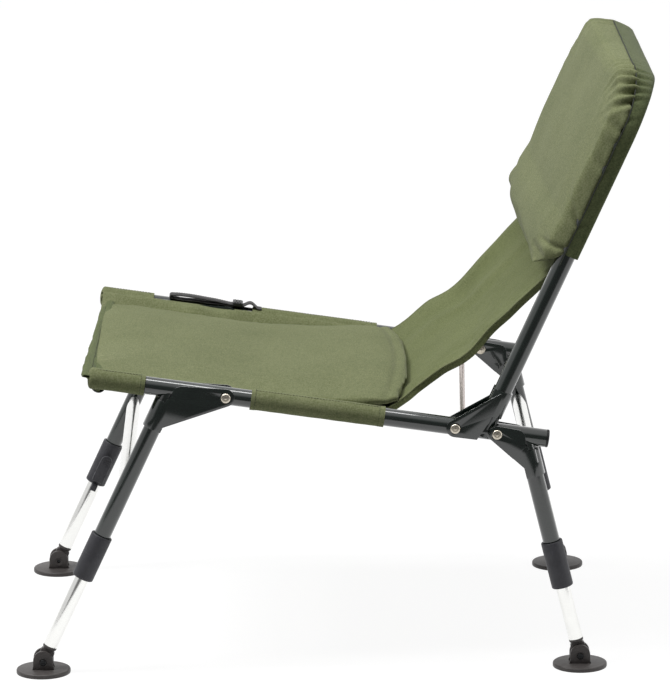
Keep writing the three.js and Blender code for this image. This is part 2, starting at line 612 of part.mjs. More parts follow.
const slingRings = Array.from({ length: SLING_STATIONS + 1 }, (_, station) => {
  const share = station / SLING_STATIONS;
  const point = slingPath.getPoint(share);
  const tangent = slingPath.getTangent(share).setX(0).normalize();
  const normal = new THREE.Vector3(0, -tangent.z, tangent.y);
  const loose = Math.sin(Math.PI * share);
  const at = (across, side) => {
    const wave = SLING_WAVE * loose ** 4 * Math.sin(Math.PI * SLING_FOLDS * (across + share));
    const sag = SLING_SAG * Math.sqrt(loose) * (1 - across ** 2);
    return new THREE.Vector3(point.x * across, point.y + sag, point.z)
      .addScaledVector(normal, wave + side * SLING_THICKNESS / 2);
  };
  const places = Array.from({ length: SLING_STRIPS + 1 }, (_, i) => 2 * i / SLING_STRIPS - 1);
  return [...places.map((across) => at(across, 1)), ...places.reverse().map((across) => at(across, -1))];
});
add("lumbar_sling", loft(slingRings), seat, fabric);

// Carry strap: webbing on top of the right rail, looped at its sewn end and rolled at its free end
const strapFoot = railRadius + GAP;
const strapBand = block(STRAP_WIDTH, STRAP_LENGTH, STRAP_THICKNESS)
  .translate([0, STRAP_END - STRAP_LENGTH / 2, strapFoot + STRAP_THICKNESS / 2]);
const strapLoop = block(STRAP_WIDTH, STRAP_LOOP, STRAP_LOOP_RISE)
  .translate([0, STRAP_END - STRAP_LOOP / 2, strapFoot + STRAP_LOOP_RISE / 2]);
const strapRollAt = STRAP_END - STRAP_LENGTH - STRAP_ROLL_LENGTH / 2 + STRAP_ROLL_DIAMETER;
const strapRoll = bar(STRAP_ROLL_DIAMETER / 2, STRAP_ROLL_LENGTH, "y", SMALL_ROUND)
  .translate([0, strapRollAt, strapFoot + STRAP_ROLL_DIAMETER / 2]);
add("carry_strap", onSide(join(strapBand, strapLoop, strapRoll), SIDES.right), seat, webbing);

// Leg pairs: the upper tubes stop on the rails' undersides, and a cross bar bolts between them
const LEG_PAIRS = { front: [FRONT_LEG, frontLegs, frontSlant], rear: [REAR_LEG, rearLegs, rearSlant] };
for (const [word, [leg, group, slant]] of Object.entries(LEG_PAIRS)) {
  const { offset, barShare, clampAboveFoot, engaged, lean, webEnd } = leg;
  const onLeg = (body, down) => body.translate([0, offset, -down]);
  const footDown = (group.position.z + offset * Math.sin(lean) - FOOT_PIVOT_HEIGHT) / Math.cos(lean);
  const clampEnd = footDown - clampAboveFoot;
  const barRoom = CROSS_BAR_DIAMETER / 2 + GAP;
  const barAt = THREE.MathUtils.lerp(webEnd + barRoom, clampEnd - CLAMP_LENGTH - barRoom, barShare);
  const tubeStart = Math.abs(offset) * Math.tan(slant);
  const tubeEnd = clampEnd - CLAMP_NECK - GAP;
  const barBoltHole = bar(BAR_BOLT_DIAMETER / 2 + GAP, LEG_DIAMETER, "x", SMALL_ROUND)
    .translate([-legRadius, 0, 0]);
  const tube = cut(
    onLeg(pipe(legRadius, legRadius - TUBE_WALL, tubeEnd - tubeStart, "z"), (tubeStart + tubeEnd) / 2),
    moved(railCutter, seat, group), onLeg(barBoltHole, barAt));
  addPair(`${word}_leg_tube`, tube, group, paint);

  const barLength = RAIL_SPACING - LEG_DIAMETER - 2 * BAR_END_GAP;
  const barRadius = CROSS_BAR_DIAMETER / 2;
  const crossBar = cut(
    bar(barRadius, barLength, "x"),
    bar(barRadius - TUBE_WALL, barLength - 2 * BAR_END_WALL, "x"),
    bar(BAR_BOLT_DIAMETER / 2 + GAP, barLength + OVERRUN, "x", SMALL_ROUND));
  add(`${word}_cross_bar`, onLeg(crossBar, barAt), group, aluminium);

  const collar = bar(BAR_COLLAR_DIAMETER / 2, BAR_END_GAP - 2 * GAP, "x", SMALL_ROUND)
    .translate([-legRadius - BAR_END_GAP / 2, 0, 0]);
  const shankLength = BAR_BOLT_INTO_LEG + BAR_END_GAP + BAR_END_WALL;
  const shank = bar(BAR_BOLT_DIAMETER / 2, shankLength, "x", SMALL_ROUND)
    .translate([BAR_BOLT_INTO_LEG - legRadius - shankLength / 2, 0, 0]);
  addPair(`${word}_bar_bolt`, onLeg(collar.add(shank), barAt), group, darkSteel);

  // Clamp: a sleeve on the tube's end with a neck round the inner tube, and ears for the lever
  const pinAt = [-clampRadius - LEVER_AXIS_CLEAR, 0, LEVER_ABOVE_END];
  const ear = cut(
    bar(EAR_RADIUS, EAR_THICKNESS, "y", SMALL_ROUND).translate(pinAt)
      .add(block(LEVER_AXIS_CLEAR + CLAMP_NECK / 4, EAR_THICKNESS, 2 * EAR_RADIUS * EAR_ROOT_SHARE)
        .translate([-clampRadius - LEVER_AXIS_CLEAR / 2 + CLAMP_NECK / 8, 0, LEVER_ABOVE_END])),
    bar(LEVER_PIN_DIAMETER / 2 + GAP, EAR_THICKNESS + OVERRUN, "y", SMALL_ROUND).translate(pinAt));
  const earShift = (EAR_SPACING + EAR_THICKNESS) / 2;
  const stopDepth = clampRadius + STOP_BLOCK.depth - innerRadius;
  const stopBlock = block(stopDepth, STOP_BLOCK.width, STOP_BLOCK.length + STOP_BLOCK.lap)
    .translate([-innerRadius - stopDepth / 2, 0, (STOP_BLOCK.lap - STOP_BLOCK.length) / 2]);
  const sleeveBody = bar(clampRadius, CLAMP_LENGTH, "z").translate([0, 0, CLAMP_LENGTH / 2]);
  const upperBore = bar(legRadius + GAP, CLAMP_LENGTH, "z").translate([0, 0, CLAMP_LENGTH / 2 + CLAMP_NECK]);
  const lowerBore = bar(innerRadius + GAP, 2 * CLAMP_LENGTH, "z");
  const clamp = cut(
    join(sleeveBody, ear.translate([0, earShift, 0]), ear.translate([0, -earShift, 0]), stopBlock),
    upperBore, lowerBore);
  addPair(`${word}_clamp`, onLeg(clamp, clampEnd), group, clampPlastic);

  // Lever: a cam on its pin between the ears, and a flat handle with a round free end
  const handleFoot = EAR_RADIUS + GAP;
  const handleShape = new THREE.Shape();
  handleShape.moveTo(-LEVER_WIDTH / 2, -LEVER_TAIL);
  handleShape.lineTo(LEVER_WIDTH / 2, -LEVER_TAIL);
  handleShape.absarc(0, LEVER_LENGTH - LEVER_TAIL - LEVER_WIDTH / 2, LEVER_WIDTH / 2, 0, Math.PI, false);
  const handle = plate(handleShape, LEVER_THICKNESS).translate([-handleFoot - LEVER_THICKNESS, 0, 0]);
  const camWidth = EAR_SPACING - 2 * GAP;
  const lever = join(
    handle,
    bar(LEVER_CAM_RADIUS, camWidth, "y", SMALL_ROUND),
    bar(LEVER_PIN_DIAMETER / 2, EAR_SPACING + 2 * EAR_THICKNESS, "y", SMALL_ROUND),
    block(handleFoot + OVERLAP, camWidth, 2 * LEVER_TAIL).translate([-(handleFoot + OVERLAP) / 2, 0, 0]));
  addPair(`${word}_clamp_lever`, onLeg(lever.translate(pinAt), clampEnd), group, clampPlastic);

  // Inner tube and the ankle plug in its end
  const innerStart = clampEnd - engaged;
  const innerEnd = footDown - TUBE_END_ABOVE_PIVOT;
  const boreRadius = innerRadius - TUBE_WALL;
  const innerTube = pipe(innerRadius, boreRadius, innerEnd - innerStart, "z");
  addPair(`${word}_inner_tube`, onLeg(innerTube, (innerStart + innerEnd) / 2), group, aluminium);

  const tongueShape = new THREE.Shape();
  tongueShape.absarc(0, 0, TONGUE.radius, Math.PI, 2 * Math.PI, false);
  tongueShape.lineTo(TONGUE.radius, TUBE_END_ABOVE_PIVOT - SHOULDER_THICKNESS);
  tongueShape.lineTo(-TONGUE.radius, TUBE_END_ABOVE_PIVOT - SHOULDER_THICKNESS);
  const shoulder = bar(innerRadius, SHOULDER_THICKNESS - GAP, "z")
    .translate([0, 0, TUBE_END_ABOVE_PIVOT - GAP - (SHOULDER_THICKNESS - GAP) / 2]);
  const plug = bar(boreRadius - GAP, PLUG_LENGTH + GAP + OVERLAP, "z")
    .translate([0, 0, TUBE_END_ABOVE_PIVOT + (PLUG_LENGTH - GAP - OVERLAP) / 2]);
  const screwHole = bar(FOOT_SCREW.diameter / 2 + GAP, FOOT_DIAMETER, "x", SMALL_ROUND);
  const tongue = plate(tongueShape, TONGUE.thickness).translate([-TONGUE.thickness / 2, 0, 0]);
  const anklePlug = cut(join(tongue, shoulder, plug), screwHole);
  addPair(`${word}_ankle_plug`, onLeg(anklePlug, footDown), group, footPlastic);

  // Foot: a flat disc with two cheeks round the tongue, level on the ground, and its screw
  const ankle = new THREE.Vector3(0, offset, -footDown).applyMatrix4(group.matrix);
  const foot = frameAt(ankle.y, ankle.z, 0);
  const sole = -FOOT_PIVOT_HEIGHT;
  const discTop = sole + FOOT_THICKNESS;
  const footRadius = FOOT_DIAMETER / 2;
  const disc = turned([
    [0, sole], [footRadius - FOOT_BEVEL / 2, sole], [footRadius, sole + FOOT_BEVEL / 2],
    [footRadius, discTop - FOOT_BEVEL], [footRadius - FOOT_BEVEL, discTop], [0, discTop],
  ], "z", 1.5 * ROUND);
  const cheekHalf = ANKLE_CHEEK.width / 2;
  const cheekShape = new THREE.Shape();
  cheekShape.absarc(0, ANKLE_CHEEK.arcRise, cheekHalf, 0, Math.PI, false);
  cheekShape.lineTo(-cheekHalf, discTop - OVERLAP);
  cheekShape.lineTo(cheekHalf, discTop - OVERLAP);
  const cheekFrom = TONGUE.thickness / 2 + GAP;
  const cheek = plate(cheekShape, ANKLE_CHEEK.thickness).translate([cheekFrom, 0, 0]);
  addPair(`${word}_foot`, cut(disc.add(twoCheeks(cheek)), screwHole), foot, footPlastic);

  const cheekTo = cheekFrom + ANKLE_CHEEK.thickness;
  const { diameter, headDiameter, headThickness } = FOOT_SCREW;
  const screw = turned([
    [0, -cheekTo], [diameter / 2, -cheekTo], [diameter / 2, cheekTo + GAP], [headDiameter / 2, cheekTo + GAP],
    [headDiameter / 2, cheekTo + GAP + headThickness / 2], [diameter / 2, cheekTo + GAP + headThickness],
    [0, cheekTo + GAP + headThickness],
  ], "x", SMALL_ROUND);
  addPair(`${word}_foot_screw`, screw, foot, darkSteel);
}

// The part's origin is on the ground, under the middle of its box
chair.updateMatrixWorld(true);
const extent = new THREE.Box3().setFromObject(chair, true);
for (const group of chair.children) group.position.y -= (extent.min.y + extent.max.y) / 2;
chair.updateMatrixWorld(true);
export default chair;
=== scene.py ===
# A low folding fishing chair: padded olive cloth on dark green tube, with clamped telescopic legs.
import json
from math import atan2, cos, exp, hypot, pi, radians, sin, sqrt, tan

import bmesh
import bpy
from mathutils import Matrix, Vector, noise


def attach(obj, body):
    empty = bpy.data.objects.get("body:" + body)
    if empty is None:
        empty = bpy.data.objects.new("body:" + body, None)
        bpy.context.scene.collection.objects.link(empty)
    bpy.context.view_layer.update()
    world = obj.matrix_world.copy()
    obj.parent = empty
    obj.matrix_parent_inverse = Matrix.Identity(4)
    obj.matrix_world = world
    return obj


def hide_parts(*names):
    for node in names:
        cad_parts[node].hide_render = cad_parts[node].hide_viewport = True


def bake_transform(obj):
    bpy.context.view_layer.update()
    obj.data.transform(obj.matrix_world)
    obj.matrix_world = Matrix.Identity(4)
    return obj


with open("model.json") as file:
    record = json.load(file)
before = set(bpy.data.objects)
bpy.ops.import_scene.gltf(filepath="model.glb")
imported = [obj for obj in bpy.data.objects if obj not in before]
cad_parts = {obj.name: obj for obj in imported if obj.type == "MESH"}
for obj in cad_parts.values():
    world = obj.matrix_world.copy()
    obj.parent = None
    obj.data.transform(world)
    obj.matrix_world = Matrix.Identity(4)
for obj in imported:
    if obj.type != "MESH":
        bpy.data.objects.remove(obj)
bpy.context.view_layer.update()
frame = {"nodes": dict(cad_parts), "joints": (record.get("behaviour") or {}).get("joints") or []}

bpy.ops.object.select_all(action="DESELECT")
bpy.context.scene.view_settings.view_transform = "Standard"

# Pieces are modelled in millimetres, each in the frame of what carries it, and then put in place in metres
MM = 0.001
HINGES = {joint["name"]: joint for joint in frame["joints"]}
SEAT_TILT = radians(8.45)
BACK_LEAN = radians(24.82)
FRONT_LEAN = radians(-25.4)
REAR_LEAN = radians(13.7)


def frame_at(joint, angle):
    """The frame whose origin is a joint's pivot, on the chair's middle plane."""
    pivot = HINGES[joint]["pos_m"]
    return (Matrix.Translation((0, pivot[1], pivot[2])) @ Matrix.Rotation(angle, 4, "X")
            @ Matrix.Scale(MM, 4))


SEAT = frame_at("front_legs_fold", -SEAT_TILT)
BACK = frame_at("backrest_fold", -BACK_LEAN)
LEGS = {"front": frame_at("front_legs_fold", FRONT_LEAN), "rear": frame_at("rear_legs_fold", REAR_LEAN)}
SIDES = {"left": 1, "right": -1}

# Sizes in millimetres: those of the frame that carries the looks
RAIL_X = 270
RAIL_R = 12.5
WALL = 1.5
RAIL_FRONT = -186
RAIL_REAR = 449
BACK_PIVOT = 321
REAR_PIVOT = 379.6
BACK_OFFSET = 39.7
BACK_LENGTH = 539
BACK_CORNER = 78
LEG_R = 12
INNER_R = 10
CLAMP_R = 15.2
CLAMP_LENGTH = 67
CLAMP_NECK = 16
BAR_R = 10
FOOT_R = 38
FOOT_THICK = 6
FOOT_PIVOT = 17
LEG = {
    "front": {"offset": -73.2, "bar": 178, "clamp": 320.5, "held": 52, "foot": 453.2},
    "rear": {"offset": 36.8, "bar": 88, "clamp": 238.6, "held": 65, "foot": 340.6},
}
SLEEVE_R = 13.9
CLOTH = 1.1
FRONT_SLEEVE = (-190, -111)
REAR_SLEEVE = (33, 222)
SIDES_OF_TUBE = 48


# Camera: where the photograph was taken from, in metres, and its turn in degrees
CAMERA_PLACE = (6.884, HINGES["front_legs_fold"]["pos_m"][1] + 0.0689, 1.950)
CAMERA_YAW, CAMERA_PITCH, CAMERA_ROLL = radians(0.72), radians(12.71), radians(-0.50)
CAMERA_FOCAL_PIXELS = 4903
PHOTO_LONG_SIDE = 700
SENSOR = 36


def make_camera():
    data = bpy.data.cameras.new("camera")
    data.sensor_width = SENSOR
    data.lens = CAMERA_FOCAL_PIXELS / PHOTO_LONG_SIDE * SENSOR
    camera = bpy.data.objects.new("camera", data)
    bpy.context.scene.collection.objects.link(camera)
    forward = Vector((-cos(CAMERA_YAW) * cos(CAMERA_PITCH), sin(CAMERA_YAW) * cos(CAMERA_PITCH),
                      -sin(CAMERA_PITCH)))
    level = Vector((sin(CAMERA_YAW), cos(CAMERA_YAW), 0))
    upright = level.cross(forward)
    right = cos(CAMERA_ROLL) * level + sin(CAMERA_ROLL) * upright
    up = cos(CAMERA_ROLL) * upright - sin(CAMERA_ROLL) * level
    turn = Matrix((right, up, -forward)).transposed().to_4x4()
    camera.matrix_world = Matrix.Translation(CAMERA_PLACE) @ turn
    bpy.context.scene.camera = camera


make_camera()


# Shader expressions
class Value:
    """A socket that adds a Math node when it is added to, subtracted, scaled or divided."""

    def __init__(self, shade, socket):
        self.shade, self.socket = shade, socket

    def __add__(self, other):
        return self.shade.math("ADD", self, other)

    __radd__ = __add__

    def __mul__(self, other):
        return self.shade.math("MULTIPLY", self, other)

    __rmul__ = __mul__

    def __sub__(self, other):
        return self.shade.math("SUBTRACT", self, other)

    def __rsub__(self, other):
        return self.shade.math("SUBTRACT", other, self)

    def __truediv__(self, other):
        return self.shade.math("DIVIDE", self, other)

    def __rtruediv__(self, other):
        return self.shade.math("DIVIDE", other, self)


class Nodes:
    """A node tree, with one method that adds any node and short ones for the nodes used most."""

    def __init__(self, tree):
        self.tree = tree

    def node(self, kind, settings=(), output=0, **sockets):
        """Adds a node: settings first, then sockets by name, with _ for a space, or by number after n."""
        made = self.tree.nodes.new("ShaderNode" + kind)
        for setting, value in dict(settings).items():
            setattr(made, setting, value)
        for key, value in sockets.items():
            socket = made.inputs[int(key[1:])] if key[1:].isdigit() else made.inputs[key.replace("_", " ")]
            self.feed(socket, value)
        return None if output is None else Value(self, made.outputs[output])

    def feed(self, socket, value):
        if isinstance(value, Value):
            self.tree.links.new(value.socket, socket)
        else:
            socket.default_value = value

    def math(self, operation, *values):
        sockets = {f"n{i}": value for i, value in enumerate(values)}
        return self.node("Math", {"operation": operation}, **sockets)

    def rays(self):
        """1 for the camera's rays and those through glass, and 1 for those off gloss."""
        path = self.node("LightPath").socket.node.outputs
        camera, glossy, passing = (Value(self, path[f"Is {word} Ray"])
                                   for word in ("Camera", "Glossy", "Transmission"))
        return self.math("MAXIMUM", camera, passing), glossy

    def clamp(self, value, low, high):
        return self.node("MapRange", {}, 0, Value=value, From_Min=low, From_Max=high)

    def mix(self, share, first, second):
        return self.node("Mix", {"data_type": "RGBA"}, 2, n0=share, n6=first, n7=second)

    def place(self, turn=(0, 0, 0), by_uv=False):
        spot = self.node("TexCoord", {}, 2 if by_uv else 3)
        return self.node("Mapping", {}, 0, Vector=spot, Rotation=turn)

    def split(self, vector):
        parts = self.node("SeparateXYZ", {}, 0, Vector=vector).socket.node
        return [Value(self, socket) for socket in parts.outputs]

    def stretch(self, vector, scale):
        return self.node("VectorMath", {"operation": "MULTIPLY"}, 0, n0=vector, n1=scale)

    def noise(self, vector, size, detail=2.0, rough=0.5):
        """Noise from 0 to 1 whose blotches are about size metres across."""
        return self.node("TexNoise", {}, 0, Vector=vector, Scale=1 / size, Detail=detail, Roughness=rough)


class Shade(Nodes):
    """One material: its Principled shader, and what feeds it."""

    def __init__(self, name):
        self.material = bpy.data.materials.new(name)
        self.material.use_nodes = True
        super().__init__(self.material.node_tree)
        self.shader = self.tree.nodes["Principled BSDF"]

    def bump(self, height, depth, strength=1.0):
        self.feed(self.shader.inputs["Normal"],
                  self.node("Bump", {}, 0, Height=height, Distance=depth, Strength=strength))

    def set(self, **sockets):
        for key, value in sockets.items():
            self.feed(self.shader.inputs[key.replace("_", " ")], value)
        return self


def colour(red, green, blue):
    """A colour given as it looks on a screen, from 0 to 255."""
    def linear(value):
        share = value / 255
        return share / 12.92 if share <= 0.04045 else ((share + 0.055) / 1.055) ** 2.4
    return (linear(red), linear(green), linear(blue), 1)


# Finishes: threads, slubs and blotches are in metres
THREAD = 0.0011
SLUB = 0.012
FLECK = 0.0022
BLOTCH = 0.11
RUMPLE = 0.028
WEBBING_RIB = 0.0018
WEBBING_PICK = 0.0026
OLIVE_LIGHT = colour(136, 141, 104)
OLIVE_DARK = colour(108, 115, 78)
# Darker tones of the olive weave: painted shade, used for the front hem
SHADED_LIGHT = colour(112, 121, 82)
SHADED_DARK = colour(84, 94, 60)


def woven_cloth(name, turn=(0, 0, 0), by_uv=False, light=OLIVE_LIGHT, dark=OLIVE_DARK, scuff=None):
    """Plain weave with slubs, soft blotches and a nap."""
    shade = Shade(name)
    spot = shade.place(turn, by_uv)
    across, along, _ = shade.split(spot)
    beat = 2 * pi / THREAD
    weave = shade.math("SINE", across * beat) * shade.math("SINE", along * beat)
    slub_across = shade.noise(shade.stretch(spot, (1, 9, 4)), SLUB)
    slub_along = shade.noise(shade.stretch(spot, (9, 1, 4)), SLUB)
    fleck = shade.noise(spot, FLECK, 2, 0.6)
    blotch = shade.noise(spot, BLOTCH, 3)
    rumple = shade.noise(spot, RUMPLE, 4, 0.55)
    tone = ((fleck - 0.5) * 2.6 + (blotch - 0.5) * 0.9 + (slub_across + slub_along - 1) * 1.1
            + weave * 0.08 + 0.5)
    paint = shade.mix(shade.clamp(tone, 0, 1), dark, light)
    if scuff:
        paint = scuff(shade, spot, paint)
    relief = weave * 0.25 + fleck * 0.5 + (slub_across + slub_along) * 0.35 + rumple * 2.2
    shade.bump(relief, 0.0006, 0.55)
    shade.set(Base_Color=paint, Roughness=0.86 + (fleck - 0.5) * 0.14)
    shade.set(Sheen_Weight=0.12, Sheen_Roughness=0.45, Specular_IOR_Level=0.2)
    return shade.material


def gloss_paint(name):
    """Dark green paint on steel, with a little orange peel, dust and rubbed spots."""
    shade = Shade(name)
    spot = shade.place()
    peel = shade.noise(spot, 0.0028, 2)
    dust = shade.noise(spot, 0.035, 5, 0.65)
    speck = shade.noise(spot, 0.0011, 1)
    dusty = shade.clamp(dust * 0.6 + speck * 0.4, 0.52, 0.75)
    shade.bump(peel + dust * 0.4, 0.00012, 0.35)
    shade.set(Base_Color=shade.mix(dusty * 0.3, colour(18, 31, 26), colour(58, 70, 62)),
              Roughness=0.16 + dusty * 0.22 + (peel - 0.5) * 0.05)
    shade.set(Specular_IOR_Level=0.6, Coat_Weight=0.9, Coat_Roughness=0.04)
    return shade.material


def drawn_metal(name, turn, light, dark, rough, streak=(40, 40, 1)):
    """Bright metal with fine streaks along its length."""
    shade = Shade(name)
    spot = shade.place(turn)
    streaks = shade.noise(shade.stretch(spot, streak), 0.03, 4, 0.6)
    stain = shade.noise(spot, 0.02, 3)
    shade.bump(streaks, 0.00006, 0.4)
    shade.set(Base_Color=shade.mix(stain * 0.6 + streaks * 0.4, dark, light),
              Roughness=rough + (streaks - 0.5) * 0.16 + (stain - 0.5) * 0.08, Metallic=1.0)
    return shade.material


def grained_plastic(name, light, dark, rough, grain=0.0013):
    """Moulded plastic with a spark-eroded grain, handling shine and a few pale scuffs."""
    shade = Shade(name)
    spot = shade.place()
    pits = shade.noise(spot, grain, 2, 0.6)
    wear = shade.noise(spot, 0.014, 4, 0.6)
    scratch = shade.noise(shade.stretch(spot, (1, 14, 5)), 0.02, 3, 0.6)
    scuffed = shade.clamp(wear * 0.5 + scratch * 0.5, 0.6, 0.72)
    shade.bump(pits + scratch * 0.5, 0.00022, 0.5)
    shade.set(Base_Color=shade.mix(wear * 0.7 + scuffed * 0.5, dark, light),
              Roughness=rough + (pits - 0.5) * 0.16 - scuffed * 0.08)
    shade.set(Specular_IOR_Level=0.4)
    return shade.material


def ribbed_webbing(name, turn):
    """Black webbing woven in ribs."""
    shade = Shade(name)
    spot = shade.place(turn)
    across, along, _ = shade.split(spot)
    ribs = (shade.math("SINE", along * (2 * pi / WEBBING_RIB))
            * shade.math("SINE", across * (2 * pi / WEBBING_PICK)))
    lint = shade.noise(spot, 0.003, 3, 0.6)
    shade.bump(ribs + lint, 0.0004, 0.8)
    worn = shade.clamp(lint + ribs * 0.15, 0.35, 0.85)
    shade.set(Base_Color=shade.mix(worn, colour(24, 24, 25), colour(72, 70, 68)),
              Roughness=0.5 + (lint - 0.5) * 0.3)
    return shade.material


def stitched_thread(name, light, dark):
    shade = Shade(name)
    spot = shade.place()
    twist = shade.noise(spot, 0.0009, 2)
    shade.bump(twist, 0.0002, 0.8)
    shade.set(Base_Color=shade.mix(twist, dark, light), Roughness=0.75 + (twist - 0.5) * 0.2)
    return shade.material


def seat_scuffs(shade, spot, paint):
    """Pale rubbed streaks near the front of the seat's left side."""
    x, y, _ = shade.split(shade.node("VectorMath", {"operation": "SUBTRACT"}, 0, n0=spot, n1=SCUFF_PLACE))
    long, wide = SCUFF_REACH
    near = shade.clamp((x * x) / (long ** 2) + (y * y) / (wide ** 2), 1, 0)
    streak = shade.noise(shade.stretch(spot, (5, 1, 1)), 0.03, 3, 0.6)
    return shade.mix(near * shade.clamp(streak, 0.52, 0.62) * 0.55, paint, colour(172, 172, 138))


SCUFF_PLACE = tuple(Matrix.Rotation(SEAT_TILT, 3, "X") @ Vector((0, *HINGES["front_legs_fold"]["pos_m"][1:]))
                    + Vector((0.14, -0.166, 0.014)))
SCUFF_REACH = (0.034, 0.026)
SEAT_TURN = (SEAT_TILT, 0, 0)
BACK_TURN = (BACK_LEAN - pi / 2, 0, 0)
seat_cloth = woven_cloth("seat_cloth", SEAT_TURN, scuff=seat_scuffs)
back_cloth = woven_cloth("back_cloth", BACK_TURN)
sling_cloth = woven_cloth("sling_cloth", by_uv=True, light=colour(128, 135, 94), dark=colour(100, 108, 68))
# The front hem is the seat's olive weave in darker tones: painted shade
hem_cloth = woven_cloth("hem_cloth", SEAT_TURN, light=SHADED_LIGHT, dark=SHADED_DARK)
# The cover is the olive weave in darker tones: painted shade
panel_cloth = woven_cloth("panel_cloth", BACK_TURN, light=colour(104, 112, 76), dark=colour(80, 90, 58))
seam_thread = stitched_thread("seam_thread", colour(34, 40, 26), colour(18, 22, 15))
green_paint = gloss_paint("green_paint")
METAL_LIGHT, METAL_DARK = colour(255, 255, 252), colour(232, 232, 230)
leg_metal = {
    "front": drawn_metal("front_tube_metal", (FRONT_LEAN, 0, 0), METAL_LIGHT, METAL_DARK, 0.17),
    "rear": drawn_metal("rear_tube_metal", (REAR_LEAN, 0, 0), METAL_LIGHT, METAL_DARK, 0.17),
}
UNTURNED = (0, 0, 0)
ALONG_X = (1, 40, 40)
bar_metal = drawn_metal("bar_metal", UNTURNED, METAL_LIGHT, METAL_DARK, 0.2, ALONG_X)
rod_metal = drawn_metal("rod_metal", UNTURNED, colour(238, 226, 220), colour(214, 200, 194), 0.34, ALONG_X)
bolt_metal = drawn_metal("bolt_metal", UNTURNED, colour(232, 224, 208), colour(168, 160, 146), 0.27,
                         (4, 20, 20))
black_metal = drawn_metal("black_metal", UNTURNED, colour(60, 61, 62), colour(28, 29, 30), 0.38,
                          (10, 10, 10))
cap_plastic = grained_plastic("cap_plastic", colour(46, 48, 48), colour(20, 21, 22), 0.42)
clamp_plastic = grained_plastic("clamp_plastic", colour(82, 82, 87), colour(48, 48, 52), 0.5)
foot_plastic = grained_plastic("foot_plastic", colour(98, 93, 91), colour(58, 55, 54), 0.45)
strap_webbing = ribbed_webbing("strap_webbing", SEAT_TURN)


# Shaping
AXIS_TURN = {"X": (0, pi / 2, 0), "Y": (pi / 2, 0, 0), "Z": (0, 0, 0)}
LONG_CUT = 900
HOLE_CUT = 60
HOLE_SIDES = 24
FIT = 0.3
BORE_FIT = 0.4


def is_end(face):
    """Whether a face is a round piece's flat end."""
    return len(face.verts) > 12


def end_facing(axis, way):
    """Tests for the flat end that faces one way along an axis."""
    return lambda face: is_end(face) and way * getattr(face.normal, axis) > 0


def past(axis, place):
    """Tests for an edge past a place on an axis: below it where the place is negative, above it otherwise."""
    way = 1 if place > 0 else -1
    return lambda edge: all(way * getattr(v.co, axis) > way * place for v in edge.verts)


class Bench:
    """A primitive under work: its parts are picked in code, and operators act on what is picked."""

    def __init__(self, name, add, **sizes):
        bpy.ops.object.select_all(action="DESELECT")
        add(**sizes)
        self.piece = bpy.context.object
        self.piece.name = self.piece.data.name = name
        self.piece.data.transform(self.piece.matrix_world)
        self.piece.matrix_world = Matrix.Identity(4)
        bpy.ops.object.mode_set(mode="EDIT")

    def pick(self, kind, test):
        """Picks the faces, edges or vertices that pass the test."""
        bpy.ops.mesh.select_mode(type={"faces": "FACE", "edges": "EDGE", "verts": "VERT"}[kind])
        bpy.ops.mesh.select_all(action="DESELECT")
        mesh = bmesh.from_edit_mesh(self.piece.data)
        for part in getattr(mesh, kind):
            if test(part):
                part.select_set(True)
        mesh.select_flush_mode()
        bmesh.update_edit_mesh(self.piece.data)
        return self

    def extrude(self, by):
        bpy.ops.mesh.extrude_region_move(TRANSFORM_OT_translate={"value": by})
        return self

    def inset(self, thickness, depth=0.0):
        bpy.ops.mesh.inset(thickness=thickness, depth=depth)
        return self

    def bevel(self, width, segments=3):
        bpy.ops.mesh.bevel(offset=width, segments=segments, affect="EDGES")
        return self

    def done(self):
        bpy.ops.object.mode_set(mode="OBJECT")
        return self.piece


def modify(piece, kind, **settings):
    """Adds a modifier and applies it."""
    bpy.ops.object.select_all(action="DESELECT")
    bpy.context.view_layer.objects.active = piece
    piece.select_set(True)
    modifier = piece.modifiers.new(kind.lower(), kind)
    for setting, value in settings.items():
        setattr(modifier, setting, value)
    bpy.ops.object.modifier_apply(modifier=modifier.name)
    return piece


def round_edges(piece, width, angle=radians(38), segments=2):
    return modify(piece, "BEVEL", width=width, segments=segments, limit_method="ANGLE", angle_limit=angle)


def smooth(piece, angle=radians(35)):
    bpy.ops.object.select_all(action="DESELECT")
    bpy.context.view_layer.objects.active = piece
    piece.select_set(True)
    bpy.ops.object.shade_smooth_by_angle(angle=angle)
    return piece


def outwards(piece):
    mesh = bmesh.new()
    mesh.from_mesh(piece.data)
    bmesh.ops.recalc_face_normals(mesh, faces=mesh.faces)
    mesh.to_mesh(piece.data)
    mesh.free()
    return piece


def moved(piece, matrix):
    piece.data.transform(matrix)
    if matrix.determinant() < 0:
        piece.data.flip_normals()
    return piece


def shifted(piece, x, y, z):
    return moved(piece, Matrix.Translation((x, y, z)))


def joined(name, pieces):
    """One piece from several closed ones."""
    bpy.ops.object.select_all(action="DESELECT")
    for piece in pieces:
        piece.select_set(True)
    bpy.context.view_layer.objects.active = pieces[0]
    bpy.ops.object.join()
    whole = pieces[0]
    whole.name = whole.data.name = name
    return whole


def carved(piece, cutter):
    """Cuts one closed piece out of another."""
    modify(piece, "BOOLEAN", object=cutter, operation="DIFFERENCE", solver="EXACT")
    bpy.data.objects.remove(cutter)
    return piece


def twin(piece, name):
    """The same piece on the other side of the chair, with a mesh of its own."""
    other = piece.copy()
    other.data = piece.data.copy()
    other.name = other.data.name = name
    bpy.context.scene.collection.objects.link(other)
    return moved(other, Matrix.Scale(-1, 4, (1, 0, 0)))


def finish(piece, body, material, replaces=()):
    """Gives a piece its finish, its body and the nodes that it stands for."""
    piece.data.materials.clear()
    piece.data.materials.append(material)
    for face in piece.data.polygons:
        face.material_index = 0
    if replaces:
        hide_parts(*replaces)
    if body:
        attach(piece, body)
    return piece


